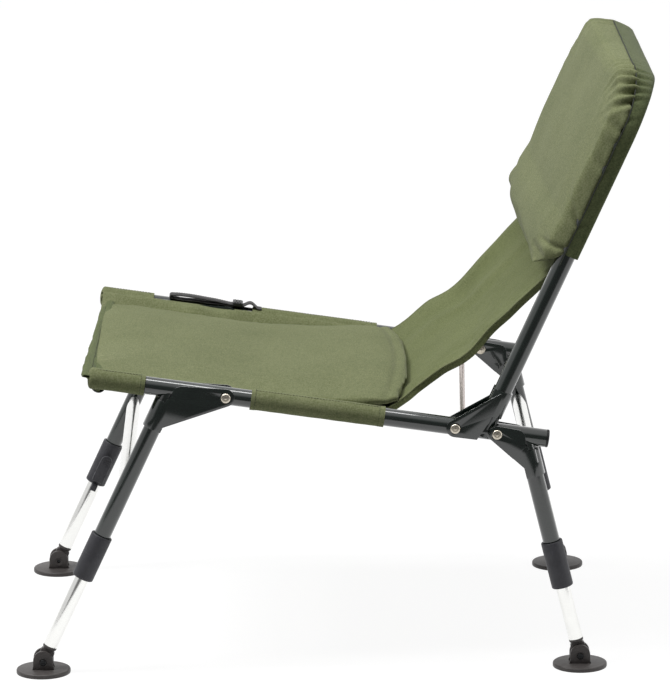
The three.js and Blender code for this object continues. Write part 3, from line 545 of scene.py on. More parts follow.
def finish_pair(piece, name, body, material, place):
    """Puts a left piece and its right twin in place. {side} in the names stands for each side."""
    for side, piece in {"right": twin(piece, "right_" + name), "left": piece}.items():
        piece.name = piece.data.name = f"{side}_{name}_look"
        moved(piece, place)
        finish(piece, body.format(side=side), material, [f"{side}_{name}"])


def rod(name, radius, length, axis="Z", sides=SIDES_OF_TUBE):
    return Bench(name, bpy.ops.mesh.primitive_cylinder_add, vertices=sides, radius=radius, depth=length,
                 rotation=AXIS_TURN[axis])


def block(name, *sizes):
    return Bench(name, bpy.ops.mesh.primitive_cube_add, size=1, scale=sizes)


def bored(piece, radius):
    """Drills a round hole along X through a piece's middle."""
    return carved(piece, rod("hole", radius, HOLE_CUT, "X", HOLE_SIDES).done())


def cut_for_rail(piece, place, side=1):
    """Cuts a leg or an upright clear of a side rail. The place is the frame that the piece is made in."""
    cutter = rod("cutter", RAIL_R + BORE_FIT, LONG_CUT, "Y").done()
    moved(shifted(cutter, side * RAIL_X, REAR_PIVOT / 2, 0), place.inverted() @ SEAT)
    return carved(piece, cutter)


def pipe(name, radius, start, end, axis):
    """A tube with rounded rims, between two places on its axis."""
    piece = Bench(name, bpy.ops.mesh.primitive_cylinder_add, vertices=SIDES_OF_TUBE, radius=radius,
                  depth=end - start, end_fill_type="NOTHING", rotation=AXIS_TURN[axis]).done()
    outwards(piece)
    shifted(piece, *((start + end) / 2 * (axis == each) for each in "XYZ"))
    modify(piece, "SOLIDIFY", thickness=WALL, offset=-1, use_even_offset=True)
    return smooth(round_edges(piece, WALL / 4, radians(60)))


def slab(name, outline, thickness, edge=0.5):
    """A flat plate from an outline in Y and Z, thick along X from zero, with rounded edges."""
    mesh = bmesh.new()
    face = mesh.faces.new([mesh.verts.new((0, y, z)) for y, z in outline])
    drawn = bmesh.ops.extrude_face_region(mesh, geom=[face])
    for part in drawn["geom"]:
        if isinstance(part, bmesh.types.BMVert):
            part.co.x += thickness
    bmesh.ops.recalc_face_normals(mesh, faces=mesh.faces)
    data = bpy.data.meshes.new(name)
    mesh.to_mesh(data)
    mesh.free()
    piece = bpy.data.objects.new(name, data)
    bpy.context.scene.collection.objects.link(piece)
    return round_edges(piece, edge)


def arc(y, z, radius, start, end, steps=10):
    angles = [start + (end - start) * i / steps for i in range(steps + 1)]
    return [(y + radius * cos(angle), z + radius * sin(angle)) for angle in angles]


def from_node(name, node, edge=0.35):
    """A dressed copy of a node's own solid: its points merged, its flats whole and its edges rounded."""
    piece = frame["nodes"][node].copy()
    piece.data = piece.data.copy()
    piece.parent = None
    for key in list(piece.keys()):
        del piece[key]
    piece.name = piece.data.name = name
    bpy.context.scene.collection.objects.link(piece)
    mesh = bmesh.new()
    mesh.from_mesh(piece.data)
    bmesh.ops.remove_doubles(mesh, verts=mesh.verts, dist=0.02 * MM)
    bmesh.ops.dissolve_limit(mesh, angle_limit=radians(1), verts=mesh.verts, edges=mesh.edges)
    mesh.to_mesh(piece.data)
    mesh.free()
    return smooth(round_edges(piece, edge * MM))


def skin(name, rows, closed=False, capped=False):
    """A surface through rows of points, with its own map in metres. A closed one joins each row's ends."""
    mesh = bmesh.new()
    layer = mesh.loops.layers.uv.new("weave")
    points = [[mesh.verts.new(point) for point in row] for row in rows]
    count = len(rows[0])
    maps = flat_map(rows, closed)
    for i in range(len(rows) - 1):
        for j in range(count if closed else count - 1):
            k = (j + 1) % count
            face = mesh.faces.new((points[i][j], points[i][k], points[i + 1][k], points[i + 1][j]))
            spots = (maps[i][j], maps[i][j + 1], maps[i + 1][j + 1], maps[i + 1][j])
            for loop, spot in zip(face.loops, spots):
                loop[layer].uv = spot
    if capped:
        for row in (points[0], points[-1]):
            middle = mesh.verts.new(sum((v.co for v in row), Vector()) / count)
            for j in range(count):
                mesh.faces.new((row[j], row[(j + 1) % count], middle))
    if closed:
        bmesh.ops.recalc_face_normals(mesh, faces=mesh.faces)
    data = bpy.data.meshes.new(name)
    mesh.to_mesh(data)
    mesh.free()
    piece = bpy.data.objects.new(name, data)
    bpy.context.scene.collection.objects.link(piece)
    return piece


def flat_map(rows, closed):
    """A map's places for rows of points: how far across from a row's middle, and how far along, in metres."""
    maps = []
    along = 0
    for i, row in enumerate(rows):
        line = list(row) + ([row[0]] if closed else [])
        if i:
            middle = len(row) // 2
            along += (Vector(row[middle]) - Vector(rows[i - 1][middle])).length
        lengths = line_lengths(line)
        maps.append([((length - lengths[-1] / 2) * MM, along * MM) for length in lengths])
    return maps


def flat_size(rows):
    """A sheet's cut size in metres, and its area, from its rows in millimetres."""
    width = max(line_lengths(row)[-1] for row in rows)
    length = max(line_lengths(line)[-1] for line in zip(*rows))
    area = 0
    for low, high in zip(rows, rows[1:]):
        for j in range(len(low) - 1):
            a, b, c, d = (Vector(p) for p in (low[j], low[j + 1], high[j + 1], high[j]))
            area += ((c - a).cross(d - b)).length / 2
    return (width * MM, length * MM), area * MM * MM


def thickened(piece, thickness):
    return modify(piece, "SOLIDIFY", thickness=thickness, offset=0)


def ripple(point, size, seed):
    """Smooth noise from -1 to 1 with waves about size long."""
    return noise.noise(Vector(point) / size + Vector((seed, seed * 0.7, -seed)))


def smoothstep(low, high, value):
    share = min(1, max(0, (value - low) / (high - low)))
    return share * share * (3 - 2 * share)


def bump_at(value, middle, spread):
    return exp(-((value - middle) / spread) ** 2)


def read(table, place):
    """Reads a table of places and values by straight lines."""
    for (start, low), (end, high) in zip(table, table[1:]):
        if place <= end:
            share = min(1, max(0, (place - start) / (end - start)))
            return low + (high - low) * share
    return table[-1][1]


def cord_line(name, path, radius, sides=8):
    """A thin round line along a path, closed at both ends."""
    rings = []
    for i, point in enumerate(path):
        point = Vector(point)
        ahead = (Vector(path[min(i + 1, len(path) - 1)]) - Vector(path[max(i - 1, 0)])).normalized()
        side = ahead.cross(Vector((0.31, 0.22, 0.92))).normalized()
        other = ahead.cross(side)
        rings.append([point + radius * (cos(2 * pi * k / sides) * side + sin(2 * pi * k / sides) * other)
                      for k in range(sides)])
    return smooth(skin(name, rings, closed=True, capped=True), radians(80))


def line_lengths(path):
    """How far along a path each of its points is."""
    lengths = [0]
    for a, b in zip(path, path[1:]):
        lengths.append(lengths[-1] + (Vector(b) - Vector(a)).length)
    return lengths


def stitches(name, path, length, gap, radius):
    """Short raised stitches laid end to end along a path."""
    lengths = line_lengths(path)

    def at(distance):
        for i in range(len(path) - 1):
            if distance <= lengths[i + 1]:
                share = (distance - lengths[i]) / (lengths[i + 1] - lengths[i])
                return Vector(path[i]).lerp(Vector(path[i + 1]), share)
        return Vector(path[-1])

    pieces = []
    place = gap
    while place + length < lengths[-1]:
        middle = (at(place) + at(place + length)) / 2
        pieces.append(cord_line("stitch", [at(place), middle, at(place + length)], radius, 6))
        place += length + gap
    return joined(name, pieces)


# Seat frame: lengths and radii of its small parts, and how far out each lies
CAP_HEAD = 3.3
CAP_PLUG = 11
CAP_WALL = 1.8


def make_rails():
    rail = shifted(pipe("left_side_rail", RAIL_R, RAIL_FRONT, RAIL_REAR, "Y"), RAIL_X, 0, 0)
    finish_pair(rail, "side_rail", "root", green_paint, SEAT)
    cap = rod("left_rail_cap", RAIL_R, CAP_HEAD, "Y")
    cap.pick("edges", past("y", 1)).bevel(1.4, 4)
    cap.pick("faces", end_facing("y", -1)).inset(CAP_WALL).extrude((0, -CAP_PLUG, 0))
    cap = shifted(smooth(cap.done()), RAIL_X, RAIL_REAR + CAP_HEAD / 2 + FIT, 0)
    finish_pair(cap, "rail_cap", "root", cap_plastic, SEAT)


HEAD_R, HEAD = 7, 3.6
SOCKET_RIM, SOCKET = 1.7, 1.6
BOLT_R, BOLT_PROUD = 4, 12
NUT_R, NUT, NUT_PLACE = 6.9, 4.6, 3.9
WASHER_R, WASHER, WASHER_PLACE = 7.6, 1.1, 0.9
CHEEKS_OUTSIDE, REAR_CHEEKS_OUTSIDE = 14.8, 17.1


def make_bolt(name, outside, along):
    """A pivot bolt: a domed head with a socket, and a hexagon nut with its washer and threaded end."""
    head = rod("head", HEAD_R, HEAD, "X")
    head.pick("edges", past("x", 1)).bevel(2.4, 5)
    head.pick("faces", end_facing("x", 1)).inset(SOCKET_RIM).extrude((-SOCKET, 0, 0))
    head = shifted(smooth(head.done()), outside + HEAD / 2 + FIT, 0, 0)
    shank = rod("shank", BOLT_R, 2 * outside + BOLT_PROUD, "X", HOLE_SIDES).done()
    shifted(smooth(round_edges(shank, 0.6)), -BOLT_PROUD / 4, 0, 0)
    nut = rod("nut", NUT_R, NUT, "X", 6)
    nut.pick("edges", lambda edge: abs(edge.verts[0].co.x - edge.verts[1].co.x) < 1).bevel(0.8, 2)
    nut = shifted(smooth(nut.done()), -outside - NUT_PLACE, 0, 0)
    washer = smooth(round_edges(rod("washer", WASHER_R, WASHER, "X").done(), 0.25))
    shifted(washer, -outside - WASHER_PLACE, 0, 0)
    return shifted(joined(name, [head, shank, nut, washer]), RAIL_X, along, 0)


def make_bolts():
    for name, outside, along in (("front_pivot_bolt", CHEEKS_OUTSIDE, 0),
                                 ("backrest_pivot_bolt", CHEEKS_OUTSIDE, BACK_PIVOT),
                                 ("rear_pivot_bolt", REAR_CHEEKS_OUTSIDE, REAR_PIVOT)):
        finish_pair(make_bolt(name, outside, along), name, "root", bolt_metal, SEAT)


def make_brackets():
    for name, body in (("front_leg_bracket", "front_legs"), ("rear_leg_bracket", "rear_legs"),
                       ("backrest_bracket", "backrest")):
        for side in SIDES:
            piece = from_node(f"{side}_{name}_look", f"{side}_{name}")
            finish(piece, body, green_paint, [f"{side}_{name}"])


# Legs
BAR_GAP = 10
BAR_END = 50
BAR_STEPS = 8
BAR_PRESSED = 46
ANKLE_GAP = 24


def make_leg(word):
    sizes = LEG[word]
    place = LEGS[word]
    slant = -FRONT_LEAN - SEAT_TILT if word == "front" else REAR_LEAN + SEAT_TILT
    offset, clamp_end, foot = sizes["offset"], sizes["clamp"], sizes["foot"]
    body = f"{word}_legs"
    lower, swivel, lever = (f"{{side}}_{word}_{part}" for part in ("lower_leg", "swivel_foot", "lever"))

    tube = pipe("tube", LEG_R, -(clamp_end - CLAMP_NECK - FIT), -abs(offset) * tan(slant), "Z")
    smooth(cut_for_rail(shifted(tube, RAIL_X, offset, 0), place))
    inner = pipe("inner", INNER_R, ANKLE_GAP - foot, sizes["held"] - clamp_end, "Z")
    shifted(inner, RAIL_X, offset, 0)
    plug = shifted(make_ankle_plug(), RAIL_X, offset, -foot)
    ankle = HINGES[f"left_{word}_foot_swivel"]["pos_m"]
    ground = Matrix.Translation((0, ankle[1], ankle[2])) @ Matrix.Scale(MM, 4)

    finish_pair(tube, f"{word}_leg_tube", body, green_paint, place)
    finish(make_cross_bar(word), body, bar_metal, [f"{word}_cross_bar"])
    clamp = make_clamp(clamp_end, offset)
    finish_pair(clamp, f"{word}_clamp", body, clamp_plastic, place)
    handle = make_lever(clamp_end, offset)
    finish_pair(handle, f"{word}_clamp_lever", lever, clamp_plastic, place)
    finish_pair(inner, f"{word}_inner_tube", lower, leg_metal[word], place)
    finish_pair(plug, f"{word}_ankle_plug", lower, foot_plastic, place)
    finish_pair(make_foot(), f"{word}_foot", swivel, foot_plastic, ground)
    finish_pair(make_foot_screw(), f"{word}_foot_screw", swivel, black_metal, ground)
    for side in SIDES:
        bolt = from_node(f"{side}_{word}_bar_bolt_look", f"{side}_{word}_bar_bolt", 0.3)
        finish(bolt, body, black_metal, [f"{side}_{word}_bar_bolt"])


def make_cross_bar(word):
    """A leg pair's bar, with dished ends that are pressed narrower."""
    half = RAIL_X - LEG_R - BAR_GAP
    bar = rod(f"{word}_cross_bar_look", BAR_R, 2 * (half - BAR_END), "X")
    for side in SIDES.values():
        for _ in range(BAR_STEPS):
            bar.pick("faces", end_facing("x", side)).extrude((side * BAR_END / BAR_STEPS, 0, 0))
    bar.pick("faces", is_end).inset(0.6).inset(3.4, -0.5).inset(2.4, -2.2)
    bar = smooth(round_edges(bar.done(), 0.3, radians(50)))
    for side in SIDES.values():
        squeeze(bar, side * half)
    return moved(shifted(bar, 0, LEG[word]["offset"], -LEG[word]["bar"]), LEGS[word])


def squeeze(bar, end):
    """Narrows a cross bar over its last stretch, where it is pressed to the bolt."""
    for vertex in bar.data.vertices:
        near = 1 - smoothstep(0, BAR_PRESSED, abs(vertex.co.x - end))
        vertex.co.y *= 1 - 0.3 * near
        vertex.co.z *= 1 - 0.12 * near


EAR_R, EAR, EAR_REACH, EAR_SPREAD = 5.6, 3.6, 10, 6.1
PIN_IN, PIN_UP = 21.7, 13
GROOVE_UP = 22
STOP_BLOCK = (12, 9, 9.5)
STOP_PLACE = (-17, 0, -3.9)
OVERRUN = 5


def make_clamp(clamp_end, offset):
    """The collar: a sleeve with a fine groove, two ears for the lever's pin, and a stop block."""
    sleeve = rod("sleeve", CLAMP_R, CLAMP_LENGTH)
    sleeve.pick("edges", past("z", 1)).bevel(1.0, 3)
    sleeve.pick("edges", past("z", -1)).bevel(1.6, 3)
    sleeve = shifted(sleeve.done(), 0, 0, CLAMP_LENGTH / 2)
    for radius, low in ((LEG_R + FIT, CLAMP_NECK), (INNER_R + FIT, -OVERRUN)):
        high = CLAMP_LENGTH + OVERRUN
        carved(sleeve, shifted(rod("bore", radius, high - low).done(), 0, 0, (high + low) / 2))
    groove = Bench("groove", bpy.ops.mesh.primitive_torus_add, major_radius=CLAMP_R + FIT, minor_radius=0.5,
                   major_segments=SIDES_OF_TUBE, minor_segments=8).done()
    pieces = [smooth(carved(sleeve, shifted(groove, 0, 0, CLAMP_NECK + GROOVE_UP)))]
    for across in (-EAR_SPREAD, EAR_SPREAD):
        outline = arc(0, 0, EAR_R, -pi / 2, pi / 2) + [(-EAR_REACH, EAR_R), (-EAR_REACH, -EAR_R)]
        ear = shifted(slab("ear", outline, EAR, 0.6), -EAR / 2, 0, 0)
        moved(ear, Matrix.Translation((-PIN_IN, across, PIN_UP)) @ Matrix.Rotation(pi / 2, 4, "Z"))
        pieces.append(smooth(ear))
    stop = block("stop_block", *STOP_BLOCK)
    stop.pick("edges", past("x", -1)).bevel(1.6, 3)
    pieces.append(shifted(smooth(round_edges(stop.done(), 0.5)), *STOP_PLACE))
    return shifted(joined("clamp", pieces), RAIL_X, offset, -clamp_end)


HANDLE_HALF, HANDLE_FOOT, HANDLE_TOP, HANDLE_THICK = 8.5, -4, 30.5, 4.6
HANDLE_PLACE, HANDLE_CURL = -10.5, 2.2
GRIP_RIBS, GRIP_STEP, GRIP_FROM = 4, 3.1, 25
CAM_R, CAM, LEVER_PIN_R, LEVER_PIN = 5, 8, 2, 15.8


def handle_curl(height):
    """How far the handle curls away from the leg."""
    return HANDLE_CURL * smoothstep(8, HANDLE_TOP + HANDLE_HALF, height) ** 2


def make_lever(clamp_end, offset):
    """The lever: a cam on its pin, and a curved handle with a round free end and grip ribs."""
    foot = [(-HANDLE_HALF, HANDLE_FOOT), (HANDLE_HALF, HANDLE_FOOT)]
    handle = slab("handle", foot + arc(0, HANDLE_TOP, HANDLE_HALF, 0, pi, 14), HANDLE_THICK, 1.1)
    for vertex in handle.data.vertices:
        vertex.co.x -= handle_curl(vertex.co.z)
        vertex.co.y *= 1 - 0.1 * bump_at(vertex.co.z, 14, 8)
    pieces = [shifted(smooth(handle), HANDLE_PLACE, 0, 0)]
    for i in range(GRIP_RIBS):
        rib = block("rib", 1.4, 11 - i, 1.3)
        rib.pick("edges", past("x", -0.1)).bevel(0.5, 2)
        height = GRIP_FROM + GRIP_STEP * i
        pieces.append(shifted(smooth(rib.done()), HANDLE_PLACE - 0.4 - handle_curl(height), 0, height))
    pieces.append(smooth(round_edges(rod("cam", CAM_R, CAM, "Y", 32).done(), 0.5)))
    pieces.append(smooth(round_edges(rod("pin", LEVER_PIN_R, LEVER_PIN, "Y", 20).done(), 0.4)))
    neck = smooth(round_edges(block("neck", 7.5, 8, 8).done(), 0.7))
    pieces.append(shifted(neck, -4.2, 0, 0))
    return shifted(joined("lever", pieces), RAIL_X - PIN_IN, offset, PIN_UP - clamp_end)


TONGUE_R, TONGUE, TONGUE_TOP = 10, 10.4, 20.3
COLLAR, COLLAR_UP, COLLAR_WALL, PLUG_LENGTH = 3.7, 21.8, 1.9, 18
ANKLE_HOLE_R = 2.8


def make_ankle_plug():
    """The plug: a round collar under the tube's end, and a rounded tongue between the foot's cheeks."""
    shoulder = [(TONGUE_R, 16), (6, TONGUE_TOP), (-6, TONGUE_TOP), (-TONGUE_R, 16)]
    tongue = slab("tongue", arc(0, 0, TONGUE_R, pi, 2 * pi, 14) + shoulder, TONGUE, 0.8)
    bored(shifted(tongue, -TONGUE / 2, 0, 0), ANKLE_HOLE_R)
    collar = rod("collar", INNER_R, COLLAR)
    collar.pick("edges", past("z", -1)).bevel(1.2, 3)
    collar.pick("faces", end_facing("z", 1)).inset(COLLAR_WALL).extrude((0, 0, PLUG_LENGTH))
    collar = shifted(collar.done(), 0, 0, COLLAR_UP)
    return joined("ankle_plug", [smooth(tongue), smooth(collar)])


CHEEK_R, CHEEK, CHEEK_IN = 14, 6, 5.5
BOSS_R, BOSS, BOSS_PLACE = 6.5, 0.9, 11.8


def make_foot():
    """The foot: a round pad with a rolled rim, and two cheeks with a boss round the screw."""
    disc = rod("disc", FOOT_R, FOOT_THICK, sides=72)
    disc.pick("edges", past("z", 1)).bevel(2.0, 4)
    disc.pick("edges", past("z", -1)).bevel(0.8, 2)
    disc.pick("faces", end_facing("z", 1)).inset(4.5).inset(0.8, 0.3)
    disc = smooth(shifted(disc.done(), 0, 0, FOOT_THICK / 2 - FOOT_PIVOT), radians(30))
    pieces = [disc]
    floor = FOOT_THICK - FOOT_PIVOT - 0.6
    skirt = [(-CHEEK_R, -6), (-CHEEK_R - 1.5, floor), (CHEEK_R + 1.5, floor), (CHEEK_R, -6)]
    for side, start in ((1, CHEEK_IN), (-1, -CHEEK_IN - CHEEK)):
        cheek = slab("cheek", arc(0, 2, CHEEK_R, 0, pi, 20) + skirt, CHEEK, 0.9)
        shifted(bored(cheek, ANKLE_HOLE_R), start, 0, 0)
        boss = rod("boss", BOSS_R, BOSS, "X", 32)
        boss.pick("faces", is_end).inset(1.6).inset(0.6, -0.4)
        boss = shifted(bored(boss.done(), ANKLE_HOLE_R), side * BOSS_PLACE, 0, 0)
        pieces += [smooth(cheek), smooth(boss)]
    return shifted(joined("foot", pieces), RAIL_X, 0, 0)


SCREW_R, SCREW, SCREW_SHIFT = 2.5, 23.6, 0.6
SCREW_HEAD_R, SCREW_HEAD, SCREW_HEAD_PLACE = 4.5, 2.6, 13.6
RECESS = (2, 5.4, 0.9)


def make_foot_screw():
    """A pan-head screw with a cross recess, through both cheeks."""
    shank = smooth(round_edges(rod("shank", SCREW_R, SCREW, "X", HOLE_SIDES).done(), 0.3))
    head = rod("head", SCREW_HEAD_R, SCREW_HEAD, "X", 32)
    head.pick("edges", past("x", 1)).bevel(1.2, 4)
    head = shifted(head.done(), SCREW_HEAD_PLACE, 0, 0)
    for turn in (0, pi / 2):
        slot = moved(block("slot", *RECESS).done(), Matrix.Rotation(turn, 4, "X"))
        carved(head, shifted(slot, SCREW_HEAD_PLACE + 1, 0, 0))
    screw = joined("foot_screw", [smooth(head), shifted(shank, SCREW_SHIFT, 0, 0)])
    return shifted(screw, RAIL_X, 0, 0)


# Backrest frame
UPRIGHT_FOOT = 4
SPREADER_R = 3.9
SPREADER_BOW = 2.2


def make_back_frame():
    """One tube: extruded up from its foot, spun over each corner and drawn across the top."""
    straight = BACK_LENGTH - BACK_CORNER
    inner = RAIL_X - BACK_CORNER
    bench = Bench("backrest_frame_look", bpy.ops.mesh.primitive_circle_add, vertices=SIDES_OF_TUBE,
                  radius=RAIL_R, location=(RAIL_X, BACK_OFFSET, UPRIGHT_FOOT), fill_type="NOTHING")
    bpy.ops.mesh.select_all(action="SELECT")
    bench.extrude((0, 0, straight - UPRIGHT_FOOT))
    for side, onward in ((1, (-2 * inner, 0, 0)), (-1, (0, 0, UPRIGHT_FOOT - straight))):
        bpy.ops.mesh.spin(steps=16, angle=-pi / 2, center=(side * inner, BACK_OFFSET, straight),
                          axis=(0, 1, 0))
        bench.extrude(onward)
    bpy.ops.mesh.select_all(action="SELECT")
    bpy.ops.mesh.remove_doubles(threshold=0.01)
    bpy.ops.mesh.normals_make_consistent(inside=False)
    tube = modify(bench.done(), "SOLIDIFY", thickness=WALL, offset=-1)
    for side in SIDES.values():
        cut_for_rail(tube, BACK, side)
    moved(smooth(tube), BACK)
    finish(tube, "backrest", green_paint, ["backrest_frame"])


def make_spreader():
    """The thin rod between the backrest brackets, bent a little in use."""
    low, high = Vector((254.4, BACK_PIVOT + 12.5, -2.4)), Vector((-254.4, BACK_PIVOT + 30, 2.2))
    path = [low.lerp(high, i / 40) - Vector((0, 0, SPREADER_BOW * sin(pi * i / 40))) for i in range(41)]
    spreader = moved(cord_line("spreader_rod_look", path, SPREADER_R, 20), SEAT)
    finish(spreader, "backrest", rod_metal, ["spreader_rod"])


make_rails()
make_bolts()
make_brackets()
for leg_word in LEG:
    make_leg(leg_word)
make_back_frame()
make_spreader()
front_tube = from_node("front_cross_tube_look", "front_cross_tube")
finish(front_tube, "root", green_paint, ["front_cross_tube"])


# Soft goods
PUFF_CAP = 3.5
PUFF_PRESSURE = 4
PUFF_VOXEL = 5
PUFF_FRAMES = 20


def puff(piece, still):
    """Blows a soft piece up as cloth: seams hold where still is 1, and no point moves past the cap."""
    moved(piece, Matrix.Scale(MM, 4))
    modify(piece, "REMESH", mode="VOXEL", voxel_size=PUFF_VOXEL * MM)
    start = [vertex.co.copy() for vertex in piece.data.vertices]
    seam = piece.vertex_groups.new(name="seam")
    for vertex in piece.data.vertices:
        seam.add([vertex.index], min(1, max(0, still(vertex.co / MM))), "REPLACE")
    cloth = piece.modifiers.new("cloth", "CLOTH")
    cloth.settings.use_pressure = True
    cloth.settings.uniform_pressure_force = PUFF_PRESSURE
    cloth.settings.effector_weights.gravity = 0
    cloth.settings.vertex_group_mass = "seam"
    for step in range(1, PUFF_FRAMES + 1):
        bpy.context.scene.frame_set(step)
    bpy.ops.object.modifier_apply(modifier=cloth.name)
    bpy.context.scene.frame_set(1)
    for vertex, place in zip(piece.data.vertices, start):
        move = vertex.co - place
        if move.length > PUFF_CAP * MM:
            vertex.co = place + move.normalized() * PUFF_CAP * MM
    piece.vertex_groups.clear()
    moved(piece, Matrix.Scale(1 / MM, 4))
    return smooth(modify(piece, "SUBSURF", levels=1, render_levels=1), pi)


def shape_points(piece, change):
    """Moves each point of a finished soft piece along its normal, by what change gives for its place."""
    normals = [vertex.normal.copy() for vertex in piece.data.vertices]
    for vertex, normal in zip(piece.data.vertices, normals):
        vertex.co += normal * change(vertex.co, normal)
    return piece


def corner_shares(angle, power):
    """A place on a rounded square of half size 1."""
    return tuple(abs(share) ** power * (1 if share > 0 else -1) for share in (cos(angle), sin(angle)))


# Seat: a deck slung between sleeves round the rails, its front hem and its pad
DECK_END = 198
DECK_SAG = 16
DECK_LEAVES = radians(50)
DECK_EDGE = RAIL_X - SLEEVE_R * sin(DECK_LEAVES)
DECK_STRIPS = 44
SLEEVE_TIP = FRONT_SLEEVE[0] + 3
SLEEVE_CAP = 5
SLEEVE_STEPS = 26


def deck_height(x, sag):
    """The deck's height between the rails, leaving each sleeve on a slope."""
    share = min(1, abs(x) / DECK_EDGE)
    top = SLEEVE_R * cos(DECK_LEAVES)
    return -sag * (1 - 0.3 * share ** 2) + (top + 0.7 * sag) * smoothstep(0.9, 1, share)


def seat_section(s):
    """The seat cloth across the chair at one place along the rails: round each rail, and over the deck."""
    drawn_in = sqrt(max(0.02, 1 - max(0, (SLEEVE_TIP - s) / SLEEVE_CAP) ** 2))
    turn = 2 * pi - 0.35 * smoothstep(FRONT_SLEEVE[0], FRONT_SLEEVE[0] + 14, s)
    hem = min(abs(s - end) for end in (*FRONT_SLEEVE, *REAR_SLEEVE))
    left = []
    for i in range(SLEEVE_STEPS + 1):
        angle = pi / 2 + DECK_LEAVES - turn * (1 - i / SLEEVE_STEPS) + 2 * pi
        radius = SLEEVE_R + 0.55 * ripple((angle * 14, s, 0), 24, 3) + 0.35 * (hem < 9)
        if i < 4:
            radius -= 0.9 * (1 - i / 4)
        radius *= drawn_in
        left.append(Vector((RAIL_X + radius * cos(angle), s, radius * sin(angle))))
    sag = DECK_SAG * smoothstep(-200, -120, s) * (1 - 0.2 * smoothstep(120, 200, s))
    gap = (s - FRONT_SLEEVE[1]) / (REAR_SLEEVE[0] - FRONT_SLEEVE[1])
    middle = []
    for j in range(1, DECK_STRIPS):
        x = DECK_EDGE * cos(pi * j / DECK_STRIPS)
        height = deck_height(x, sag)
        if 0 < gap < 1:
            loose = smoothstep(0.55, 0.95, abs(x) / DECK_EDGE)
            x *= 1 - 0.055 * loose * sin(pi * gap)
            height += loose * (2.6 * sin(s / 11) - 3) * sin(pi * gap)
        height += 0.7 * ripple((x, s, 5), 45, 8)
        middle.append(Vector((x, s, height)))
    right = [Vector((-point.x, point.y, point.z)) for point in reversed(left)]
    return left + middle + right


def make_seat_sling():
    """The seat cloth with its sleeves: skinned from tip to tail, with the gaps beside the deck cut away."""
    count = 78
    places = [SLEEVE_TIP - SLEEVE_CAP * share for share in (0.995, 0.94, 0.8, 0.6, 0.35)]
    places += [SLEEVE_TIP + (DECK_END - SLEEVE_TIP) * i / count for i in range(count + 1)]
    places += [REAR_SLEEVE[1] - (REAR_SLEEVE[1] - DECK_END) * (1 - i / 5) for i in range(1, 6)]
    rows = [seat_section(s) for s in places]
    sling = skin("seat_sling_look", rows)
    mesh = bmesh.new()
    mesh.from_mesh(sling.data)

    def cut_away(face):
        middle = face.calc_center_median()
        if abs(middle.x) > DECK_EDGE - 0.5:
            return FRONT_SLEEVE[1] < middle.y < REAR_SLEEVE[0]
        return not FRONT_SLEEVE[0] + 2 < middle.y < DECK_END + 1

    bmesh.ops.delete(mesh, geom=[face for face in mesh.faces if cut_away(face)], context="FACES")
    area = sum(face.calc_area() for face in mesh.faces) * MM * MM
    mesh.to_mesh(sling.data)
    mesh.free()
    smooth(thickened(sling, CLOTH), radians(60))
    moved(sling, SEAT)
    finish(sling, "root", seat_cloth, ["seat_sling"])


HEM_TIP = -202
FRONT_TUBE = (-176, -10)
FRONT_TUBE_R = 10
HEM_HALF = RAIL_X + SLEEVE_R - 2
HEM_CLOTH = 0.9


def make_front_hem():
    """The welt ahead of the front tube: cloth folded back on itself and round the tube."""
    wrap = FRONT_TUBE_R + 1.1

    def profile(x):
        end = smoothstep(0, 9, HEM_HALF + 1 - abs(x))
        corner = smoothstep(264, HEM_HALF, abs(x))
        wave = 1.3 * ripple((x, 0, 0), 60, 4) + 0.7 * ripple((x, 0, 0), 21, 6)
        tip = HEM_TIP + 8 - 8 * x / RAIL_X + 3 * (1 - end) + wave
        thick = 1.6 + 1.2 * end
        lift = 1.2 * ripple((x, 9, 2), 90, 2) * end
        round_tube, level = wrap * (1 - 0.7 * corner), FRONT_TUBE[1] + 8 * corner

        def wrapped(start):
            angles = [radians(start + 14 * i) for i in range(6)]
            return [(FRONT_TUBE[0] + round_tube * cos(a), level + round_tube * sin(a)) for a in angles]

        middle = FRONT_TUBE[1] + 9.5 + 4.5 * x / RAIL_X + lift
        points = wrapped(60) + [(tip + 7, middle + thick), (tip + 3, middle + thick * 0.95)]
        points += [(tip + thick - thick * cos(a), middle + thick * sin(a)) for a in (pi / 3, 0, -pi / 3)]
        points += [(tip + 3, middle - thick * 0.95), (tip + 7, middle - thick)] + wrapped(215)
        return [Vector((x, s, n)) for s, n in points]

    rows = [profile(-HEM_HALF + 2 * HEM_HALF * i / 150) for i in range(151)]
    hem = outwards(skin("seat_front_hem", rows))
    smooth(thickened(hem, HEM_CLOTH), radians(70))
    moved(hem, SEAT)
    # The hem takes the darkened copy of the seat weave: painted shade
    finish(hem, "root", hem_cloth)
    line = []
    for x in range(-258, 259, 6):
        points = profile(x)
        line.append((points[5] + points[6]) / 2 + Vector((0, 0, 0.5)))
    thread = moved(stitches("seat_hem_stitches", line, 3.0, 1.3, 0.32), SEAT)
    finish(thread, "root", seam_thread)


def sleeve_point(side, s, degrees):
    """A place on a sleeve where its stitches lie."""
    radius = SLEEVE_R + 0.75
    angle = radians(degrees)
    return (side * (RAIL_X + radius * cos(angle)), s, radius * sin(angle))


def make_sleeve_stitches():
    """Rows of stitches along the sleeves, and across the hems at their ends."""
    lines = []
    for side in SIDES.values():
        for start, end in (FRONT_SLEEVE, REAR_SLEEVE):
            lines.append([sleeve_point(side, s, 74) for s in range(int(start) + 7, int(end) - 5, 6)])
        for s in (FRONT_SLEEVE[1] - 8, REAR_SLEEVE[0] + 8, REAR_SLEEVE[1] - 8):
            lines.append([sleeve_point(side, s, degrees) for degrees in range(-130, 131, 10)])
    runs = [stitches("run", line, 3.0, 1.2, 0.3) for line in lines]
    thread = moved(joined("sleeve_stitches", runs), SEAT)
    finish(thread, "root", seam_thread)


